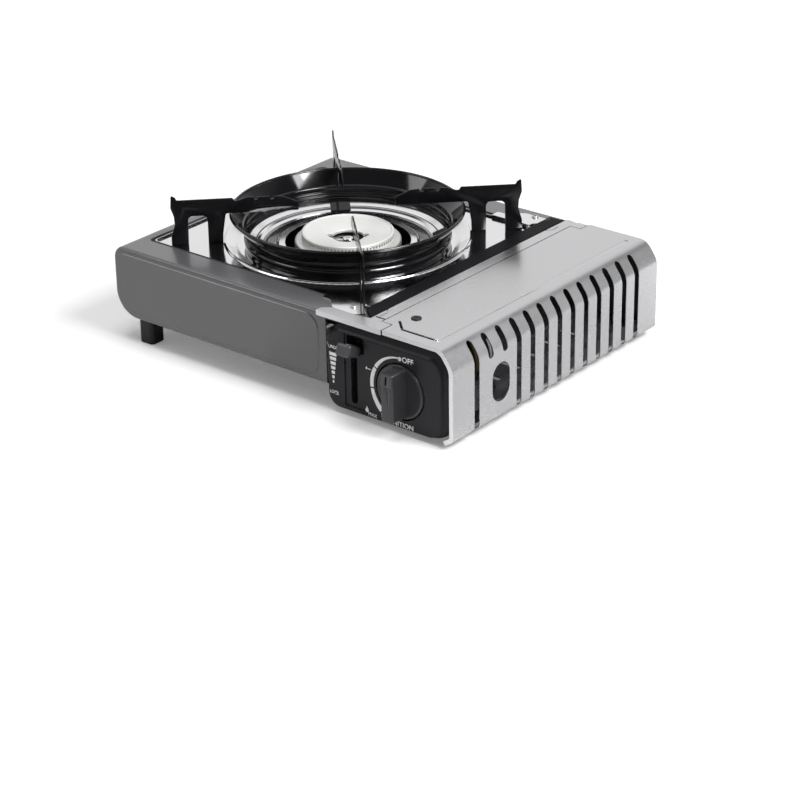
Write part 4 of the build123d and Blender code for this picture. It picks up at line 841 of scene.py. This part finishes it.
skin_line, soft_line = skin(9 * mm, 11 * mm), skin(20 * mm, 20 * mm)
skin_far, soft_far = arc_length(skin_line), arc_length(soft_line)
cover = edged_copy("cover", "lid", 0.01 * mm, segments=1, sharp=179)
lance_y, crease_x = low.y + 10.2 * mm, lid_side - 22.5 * mm
lance_start, lance_corner = 104.6 * mm, 115.5 * mm
for x0, y0, x1, y1, wide in (
    (lance_start, lance_y + 10.7 * mm, lance_corner + 0.2 * mm, lance_y - 0.2 * mm, 2.1 * mm),
    (lance_corner - 0.2 * mm, lance_y, crease_x, lance_y, 3.2 * mm),
):
    bpy.ops.mesh.primitive_cube_add(size=1)
    lance = bpy.context.object
    run = Vector((x1 - x0, y1 - y0, 0))
    lance.data.transform(Matrix.Diagonal((run.length, wide, 4 * mm, 1)))
    lance.data.transform(Matrix.Rotation(math_turn(run.y, run.x), 4, "Z"))
    lance.data.transform(Matrix.Translation(((x0 + x1) / 2, (y0 + y1) / 2, lid_top)))
    cut(cover, lance)
crease_front, crease_back = lance_y + 2.4 * mm, high.y - 11 * mm
crease_r, crease_deep = 7 * mm, 0.34 * mm
bpy.ops.mesh.primitive_cylinder_add(
    vertices=128, radius=crease_r, depth=crease_back - crease_front,
    location=(crease_x, (crease_back + crease_front) / 2, lid_top + crease_r - crease_deep),
    rotation=(pi / 2, 0, 0),
)
crease = bpy.context.object
bpy.ops.object.transform_apply(location=True, rotation=True)
cut(cover, crease)
break_edges(cover, 0.13 * mm, segments=1, sharp=50)
bpy.ops.object.mode_set(mode="EDIT")
bpy.ops.mesh.select_all(action="SELECT")
bpy.ops.mesh.quads_convert_to_tris()
bpy.ops.object.mode_set(mode="OBJECT")


def on_shoulder(face):
    """The broad flat faces between the two bends, which the rounder shoulder curves."""
    corners = [cover.data.vertices[number].co for number in face.vertices]
    reaches = [nearest_on(skin_line, skin_far, Vector((corner.x, corner.z)))[0] for corner in corners]
    return (
        max(corner.x for corner in corners) > shoulder_x - 2 * mm
        and max(corner.z for corner in corners) > shoulder_z - 1 * mm
        and min(corner.z for corner in corners) > shoulder_z - 7 * mm
        and max(reaches) - min(reaches) > 2.6 * mm
    )


pick_faces(cover, on_shoulder)
bpy.ops.mesh.subdivide(number_cuts=7)
bpy.ops.mesh.select_mode(type="VERT")
bpy.ops.object.mode_set(mode="OBJECT")
for corner in cover.data.vertices:
    if corner.co.x > skin_line[0].x and corner.co.z > skin_line[-1].y:
        reach, depth = nearest_on(skin_line, skin_far, Vector((corner.co.x, corner.co.z)))
        share = reach / skin_far[-1]
        if 0.001 < share < 0.999 and depth < 4 * mm:
            place, out = spot_on(soft_line, soft_far, share * soft_far[-1])
            if out.x + out.y < 0:
                out = -out
            corner.co.x, corner.co.z = place.x - out.x * depth, place.y - out.y * depth
even_shading(cover, 30)
hand_in(cover, satin_stainless, "satin_stainless", "lid", "lid")
rivet = turned("rivet", [
    (0.01 * mm, lid_top - 0.6 * mm), (2.0 * mm, lid_top - 0.6 * mm), (2.0 * mm, lid_top + 0.1 * mm, 0.3 * mm),
    (1.3 * mm, lid_top + 0.7 * mm, 0.6 * mm), (0.01 * mm, lid_top + 0.8 * mm),
], (crease_x, lance_y), steps=32)
hand_in(rivet, mirror_stainless, "mirror_stainless", "lid")
foot_plastic = moulded("foot_plastic", (0.012, 0.012, 0.0125), 0.42, 1500, 0.006 * mm, gloss=0.2)
coat(foot_plastic, "lid_plug")


# ================================================================ control panel
# Charcoal moulding with a raised rounded border, a long channel for the lock lever and a well
# for the knob. Marks are printed on it in white.

panel_plastic = moulded("panel_plastic", (0.0175, 0.0175, 0.0200), 0.28, 1500, 0.002 * mm, gloss=0.13)


def stacked(name, rings, smooth=35):
    """A closed piece whose outline changes from ring to ring, each with as many corners."""
    bpy.ops.object.select_all(action="DESELECT")
    bpy.ops.mesh.primitive_circle_add(vertices=len(rings[0]), radius=1, fill_type="NGON")
    piece = bpy.context.object
    piece.name = name
    for corner, place in zip(piece.data.vertices, rings[0]):
        corner.co = place
    for before, ring in zip(rings, rings[1:]):
        bpy.ops.object.mode_set(mode="EDIT")
        bpy.ops.mesh.extrude_region_move(TRANSFORM_OT_translate={"value": (0, 0, 0)})
        bpy.ops.object.mode_set(mode="OBJECT")
        for corner in piece.data.vertices:
            if corner.select:
                nearest = min((corner.co - Vector(place)).length_squared for place in before)
                number = [(corner.co - Vector(place)).length_squared for place in before].index(nearest)
                corner.co = ring[number]
    bpy.ops.object.mode_set(mode="EDIT")
    bpy.ops.mesh.select_all(action="SELECT")
    bpy.ops.mesh.normals_make_consistent(inside=False)
    bpy.ops.object.mode_set(mode="OBJECT")
    bpy.ops.object.shade_smooth_by_angle(angle=radians(smooth))
    return piece


def rounded(x0, x1, z0, z1, corner, y, steps=7):
    """A rounded rectangle in the plane of the panel."""
    points = []
    for x, z, start in (
        (x1 - corner, z1 - corner, 0), (x0 + corner, z1 - corner, 90),
        (x0 + corner, z0 + corner, 180), (x1 - corner, z0 + corner, 270),
    ):
        for step in range(steps + 1):
            angle = radians(start + 90 * step / steps)
            points.append((x + corner * cos(angle), y, z + corner * sin(angle)))
    return points


def block_of(name, x0, x1, z0, z1, corner, y0, y1):
    return stacked(name, [rounded(x0, x1, z0, z1, corner, y) for y in (y1, y0)])


low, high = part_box("control_panel")
knob_low, knob_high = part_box("control_knob")
dial_x = (knob_low.x + knob_high.x) / 2
dial_z = (knob_low.z + knob_high.z) / 2
knob_r = (knob_high.x - knob_low.x) / 2
face_y = low.y + 0.9 * mm


def ring_of(radius, y, count):
    """A circle round the knob's axis."""
    turns = (2 * pi * number / count for number in range(count))
    return [(dial_x + radius * cos(turn), y, dial_z + radius * sin(turn)) for turn in turns]


shoulder = [
    (0, high.y - face_y), (0, 8.5 * mm), (0.5 * mm, 5.4 * mm), (1.4 * mm, 3.9 * mm), (2.9 * mm, 2.9 * mm),
    (4.6 * mm, 2.4 * mm), (5.8 * mm, 2.0 * mm), (6.5 * mm, 1.4 * mm), (7.0 * mm, 0.75 * mm),
    (7.7 * mm, 0.25 * mm), (8.7 * mm, 0),
]
moulding = stacked("moulding", [
    rounded(
        low.x + 0.16 * inset, high.x - inset, low.z + 0.12 * inset, high.z - inset,
        max(16 * mm - 0.6 * inset, 4 * mm), face_y + depth, steps=24,
    )
    for inset, depth in shoulder
])
for name, x0, x1, z0, z1, corner, deep in (
    ("channel", 67.6 * mm, 86.6 * mm, 8.6 * mm, 67.6 * mm, 1.6 * mm, 0.9 * mm),
    ("pocket", 69.6 * mm, 86.4 * mm, 54.0 * mm, 66.4 * mm, 1.2 * mm, 9 * mm),
):
    cut(moulding, block_of(name, x0, x1, z0, z1, corner, face_y - 1 * mm, face_y + deep))
slot_x, slot_half = 76.2 * mm, 3.0 * mm
cut(moulding, block_of(
    "lever_way", slot_x - slot_half, slot_x + slot_half, 11.9 * mm, 60 * mm, slot_half * 0.98,
    face_y - 2 * mm, high.y + 1 * mm,
))
well_r, spindle_r = knob_r + 1.2 * mm, 4.6 * mm
cut(moulding, stacked("well", [ring_of(well_r, y, 96) for y in (face_y + 4.4 * mm, face_y - 1 * mm)]))
cut(moulding, stacked("spindle_way", [ring_of(spindle_r, y, 32) for y in (high.y + 1 * mm, face_y - 1 * mm)]))
break_edges(moulding, 0.3 * mm, sharp=40)
even_shading(moulding, 40)
hand_in(moulding, panel_plastic, "panel_plastic", "stove", "control_panel")

print_white = Finish("print_white", base_color=(0.74, 0.74, 0.74), roughness=0.45)
print_white.set(
    base_color=print_white.tint(print_white.noise(300), (0.66, 0.66, 0.66), (0.78, 0.78, 0.78)),
    roughness=print_white.between(print_white.noise(900), 0.38, 0.52),
)
print_y = face_y + 0.02 * mm
ink = 0.07 * mm


def finish_print(mark):
    """Lays a flat mark, drawn on XY, on the panel's face and gives it ink's thickness."""
    bpy.ops.object.select_all(action="DESELECT")
    mark.select_set(True)
    bpy.context.view_layer.objects.active = mark
    if mark.type == "FONT":
        bpy.ops.object.convert(target="MESH")
        mark = bpy.context.object
    mark.data.transform(Matrix.Rotation(pi / 2, 4, "X"))
    mark.data.transform(Matrix.Translation((0, print_y, 0)))
    bpy.ops.object.mode_set(mode="EDIT")
    bpy.ops.mesh.select_all(action="SELECT")
    bpy.ops.mesh.remove_doubles(threshold=0.004 * mm)
    bpy.ops.mesh.extrude_region_move(TRANSFORM_OT_translate={"value": (0, -ink, 0)})
    bpy.ops.mesh.select_all(action="SELECT")
    bpy.ops.mesh.normals_make_consistent(inside=False)
    bpy.ops.object.mode_set(mode="OBJECT")
    mark.data.materials.clear()
    mark.data.materials.append(print_white.material)
    return mark


def lettering(text, x, z, size, turn=0.0, bold=0.0, squeeze=1.0):
    """A word centred on a place of the panel, its size that of its capitals' line."""
    bpy.ops.object.text_add(location=(0, 0, 0))
    word = bpy.context.object
    word.data.body = text
    word.data.size = size
    word.data.align_x = "CENTER"
    word.data.align_y = "CENTER"
    word.data.offset = bold
    word.data.resolution_u = 6
    bpy.ops.object.convert(target="MESH")
    word = bpy.context.object
    word.data.transform(
        Matrix.Translation((x, z, 0)) @ Matrix.Rotation(turn, 4, "Z") @ Matrix.Diagonal((squeeze, 1, 1, 1))
    )
    return finish_print(word)


def strip_mark(steps, edges):
    """A printed strip; edges gives its two sides for a share of the way along it."""
    bpy.ops.mesh.primitive_grid_add(x_subdivisions=steps, y_subdivisions=1, size=2)
    mark = bpy.context.object
    for corner in mark.data.vertices:
        inner, outer = edges((corner.co.x + 1) / 2)
        side = (corner.co.y + 1) / 2
        corner.co = (*(inner[k] + (outer[k] - inner[k]) * side for k in (0, 1)), 0)
    return finish_print(mark)


def dial_arc(start, end, width_start, width_end, radius=26.6 * mm):
    """Part of the arc round the knob, in degrees from the right, anticlockwise."""
    def edges(share):
        angle = radians(start + (end - start) * share)
        half = (width_start + (width_end - width_start) * share) / 2
        return [(dial_x + cos(angle) * r, dial_z + sin(angle) * r) for r in (radius - half, radius + half)]
    return strip_mark(28, edges)


def spot_mark(x, z, radius, count=28, shape=None):
    """A printed spot, its outline changed by shape(angle) where that is given."""
    bpy.ops.mesh.primitive_circle_add(vertices=count, radius=1, fill_type="NGON")
    mark = bpy.context.object
    for number, corner in enumerate(mark.data.vertices):
        angle = 2 * pi * number / count
        reach = shape(angle) if shape else (cos(angle), sin(angle))
        corner.co = (x + reach[0] * radius, z + reach[1] * radius, 0)
    return finish_print(mark)


def flame(angle):
    """A drop with its point up."""
    lift = max(sin(angle), 0.0)
    return cos(angle) * (1 - lift ** 1.5) * 0.8, sin(angle) + lift ** 3 * 0.75


def bolt_corner(angle):
    """A spark's zigzag outline, corner by corner."""
    corners = [(0.35, 1.3), (-0.55, 0.0), (-0.05, 0.05), (-0.35, -1.3), (0.6, 0.2), (0.1, 0.15)]
    return corners[round(angle / (2 * pi) * 6) % 6]


dial_marks = [
    dial_arc(91, 149, 0.9 * mm, 3.0 * mm),
    dial_arc(151.5, 187, 3.1 * mm, 3.3 * mm),
    dial_arc(189.5, 229, 3.0 * mm, 4.6 * mm),
    spot_mark(dial_x - 0.2 * mm, dial_z + 26.3 * mm, 1.7 * mm),
    lettering("OFF", 127.8 * mm, 60.9 * mm, 6.0 * mm, bold=0.1 * mm),
    spot_mark(89.0 * mm, 45.0 * mm, 1.0 * mm, shape=flame),
    strip_mark(4, lambda s: [((90.2 + s * 2.6) * mm, z) for z in (44.4 * mm, 45.0 * mm)]),
    spot_mark(88.8 * mm, 10.9 * mm, 2.0 * mm, shape=flame),
    lettering("MAX", 94.0 * mm, 7.9 * mm, 4.0 * mm, turn=radians(-3), bold=0.06 * mm),
    spot_mark(102.8 * mm, 11.2 * mm, 1.7 * mm, count=6, shape=bolt_corner),
    lettering("IGNITION", 120.2 * mm, 7.9 * mm, 5.6 * mm, bold=0.1 * mm),
]
scale_marks = [
    lettering("UNLOCK", 59.6 * mm, 53.0 * mm, 3.8 * mm, bold=0.06 * mm, squeeze=0.92),
    lettering("LOCK", 57.3 * mm, 16.2 * mm, 3.9 * mm, bold=0.08 * mm, squeeze=0.84),
]
scale_x = 56.7 * mm
for number in range(7):
    wide, tall = (7.2 - number * 0.98) * mm, (2.7 - number * 0.06) * mm
    middle = (47.3 - number * 3.72) * mm
    scale_marks.append(strip_mark(2, lambda s, w=wide, t=tall, m=middle: [
        (scale_x + (s - 0.5) * w * 0.94, m - t / 2), (scale_x + (s - 0.5) * w, m + t / 2)
    ]))
for name, marks in (("dial_print", dial_marks), ("scale_print", scale_marks)):
    bpy.ops.object.select_all(action="DESELECT")
    for mark in marks:
        mark.select_set(True)
    bpy.context.view_layer.objects.active = marks[0]
    bpy.ops.object.join()
    printed = bpy.context.object
    printed.name = name
    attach(printed, "stove")
    printed.select_set(False)


# ================================================================ knob and lock lever
# Charcoal mouldings, a shade lighter and smoother than the panel: the knob's dished disc with
# its grip and a slit pad as pointer, and the finger rest pressed on the end of the lever.

knob_plastic = moulded("knob_plastic", (0.0290, 0.0290, 0.0320), 0.25, 1700, 0.002 * mm, gloss=0.36)
lever_plastic = moulded("lever_plastic", (0.055, 0.055, 0.058), 0.25, 1700, 0.002 * mm, gloss=0.45)
disc_y = face_y - 1.1 * mm
dish = stacked("knob", [
    ring_of(knob_r - inset, y, 128)
    for inset, y in (
        (0.4 * mm, face_y + 3.9 * mm), (0, face_y + 3.4 * mm), (0, disc_y + 1.3 * mm),
        (0.35 * mm, disc_y + 0.5 * mm), (0.9 * mm, disc_y + 0.1 * mm), (1.6 * mm, disc_y),
        (2.4 * mm, disc_y + 0.25 * mm), (6 * mm, disc_y + 0.6 * mm), (12 * mm, disc_y + 0.7 * mm),
    )
])
grip_front = knob_low.y
grip = stacked("grip", [
    rounded(dial_x - w, dial_x + w, dial_z - h, dial_z + h, 2.2 * mm, y)
    for w, h, y in (
        (6.4 * mm, 20.4 * mm, disc_y + 2 * mm), (6.0 * mm, 20.0 * mm, disc_y - 0.2 * mm),
        (5.7 * mm, 19.8 * mm, disc_y - 1.2 * mm), (5.45 * mm, 19.5 * mm, grip_front + 2.4 * mm),
        (5.35 * mm, 19.4 * mm, grip_front + 2.0 * mm), (5.1 * mm, 19.2 * mm, grip_front + 1.5 * mm),
        (4.6 * mm, 18.7 * mm, grip_front + 1.2 * mm), (3.9 * mm, 18.0 * mm, grip_front + 1.1 * mm),
    )
])
pad_z = dial_z + 14.4 * mm
pad = stacked("pad", [
    [(x, y + lean * (z - pad_z - 0.1 * mm), z) for x, y, z in
     rounded(dial_x - w, dial_x + w, pad_z - h, pad_z + h, 1.1 * mm, level)]
    for w, h, level, lean in (
        (4.9 * mm, 4.7 * mm, grip_front + 1.6 * mm, 0), (4.9 * mm, 4.7 * mm, grip_front + 0.75 * mm, 0.05),
        (4.6 * mm, 4.4 * mm, grip_front + 0.45 * mm, 0.08), (4.1 * mm, 3.9 * mm, grip_front + 0.4 * mm, 0.09),
    )
])
for piece in (pad, grip):
    cut(piece, block_of(
        "slit", dial_x - 0.85 * mm, dial_x + 0.85 * mm, pad_z - 3.4 * mm, pad_z + 3.6 * mm, 0.7 * mm,
        grip_front - 1 * mm, grip_front + 3.4 * mm,
    ))
pad_plastic = moulded("pad_plastic", (0.052, 0.052, 0.055), 0.25, 1700, 0.002 * mm, gloss=0.45)
for piece, material in ((pad, pad_plastic), (grip, knob_plastic), (dish, knob_plastic)):
    piece.data.materials.clear()
    piece.data.materials.append(material)
bpy.ops.object.select_all(action="DESELECT")
for piece in (pad, grip, dish):
    piece.select_set(True)
bpy.context.view_layer.objects.active = dish
bpy.ops.object.join()
hand_in(dish, None, "knob_plastic", "knob", "control_knob")

low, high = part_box("lock_lever_cap")
cap_left, cap_right = low.x - 0.9 * mm, low.x + 12.0 * mm
cap_tilt = Matrix.Translation((0, -119.6 * mm, 53.8 * mm)) @ Matrix.Rotation(radians(-22), 4, "X")
finger_rest = stacked("finger_rest", [
    rounded(cap_left + inset, cap_right - inset, -rise, rise, corner, y)
    for inset, rise, corner, y in (
        (0.6 * mm, 3.2 * mm, 1.4 * mm, 0.6 * mm), (0, 3.9 * mm, 1.9 * mm, 0),
        (0, 4.7 * mm, 1.9 * mm, -10 * mm), (0, 4.8 * mm, 1.9 * mm, -12.4 * mm),
        (0.25 * mm, 4.55 * mm, 1.8 * mm, -13.3 * mm),
        (0.8 * mm, 4.0 * mm, 1.5 * mm, -13.9 * mm), (1.6 * mm, 3.2 * mm, 1.2 * mm, -14.1 * mm),
    )
])
finger_rest.data.transform(cap_tilt)
hand_in(finger_rest, lever_plastic, "knob_plastic", "lock_lever", "lock_lever_cap")


# ================================================================ feet
# Black mouldings screwed up into the casing: tall ones under the burner side, short ones under
# the bay.

coat(foot_plastic, "burner_feet", "bay_feet")
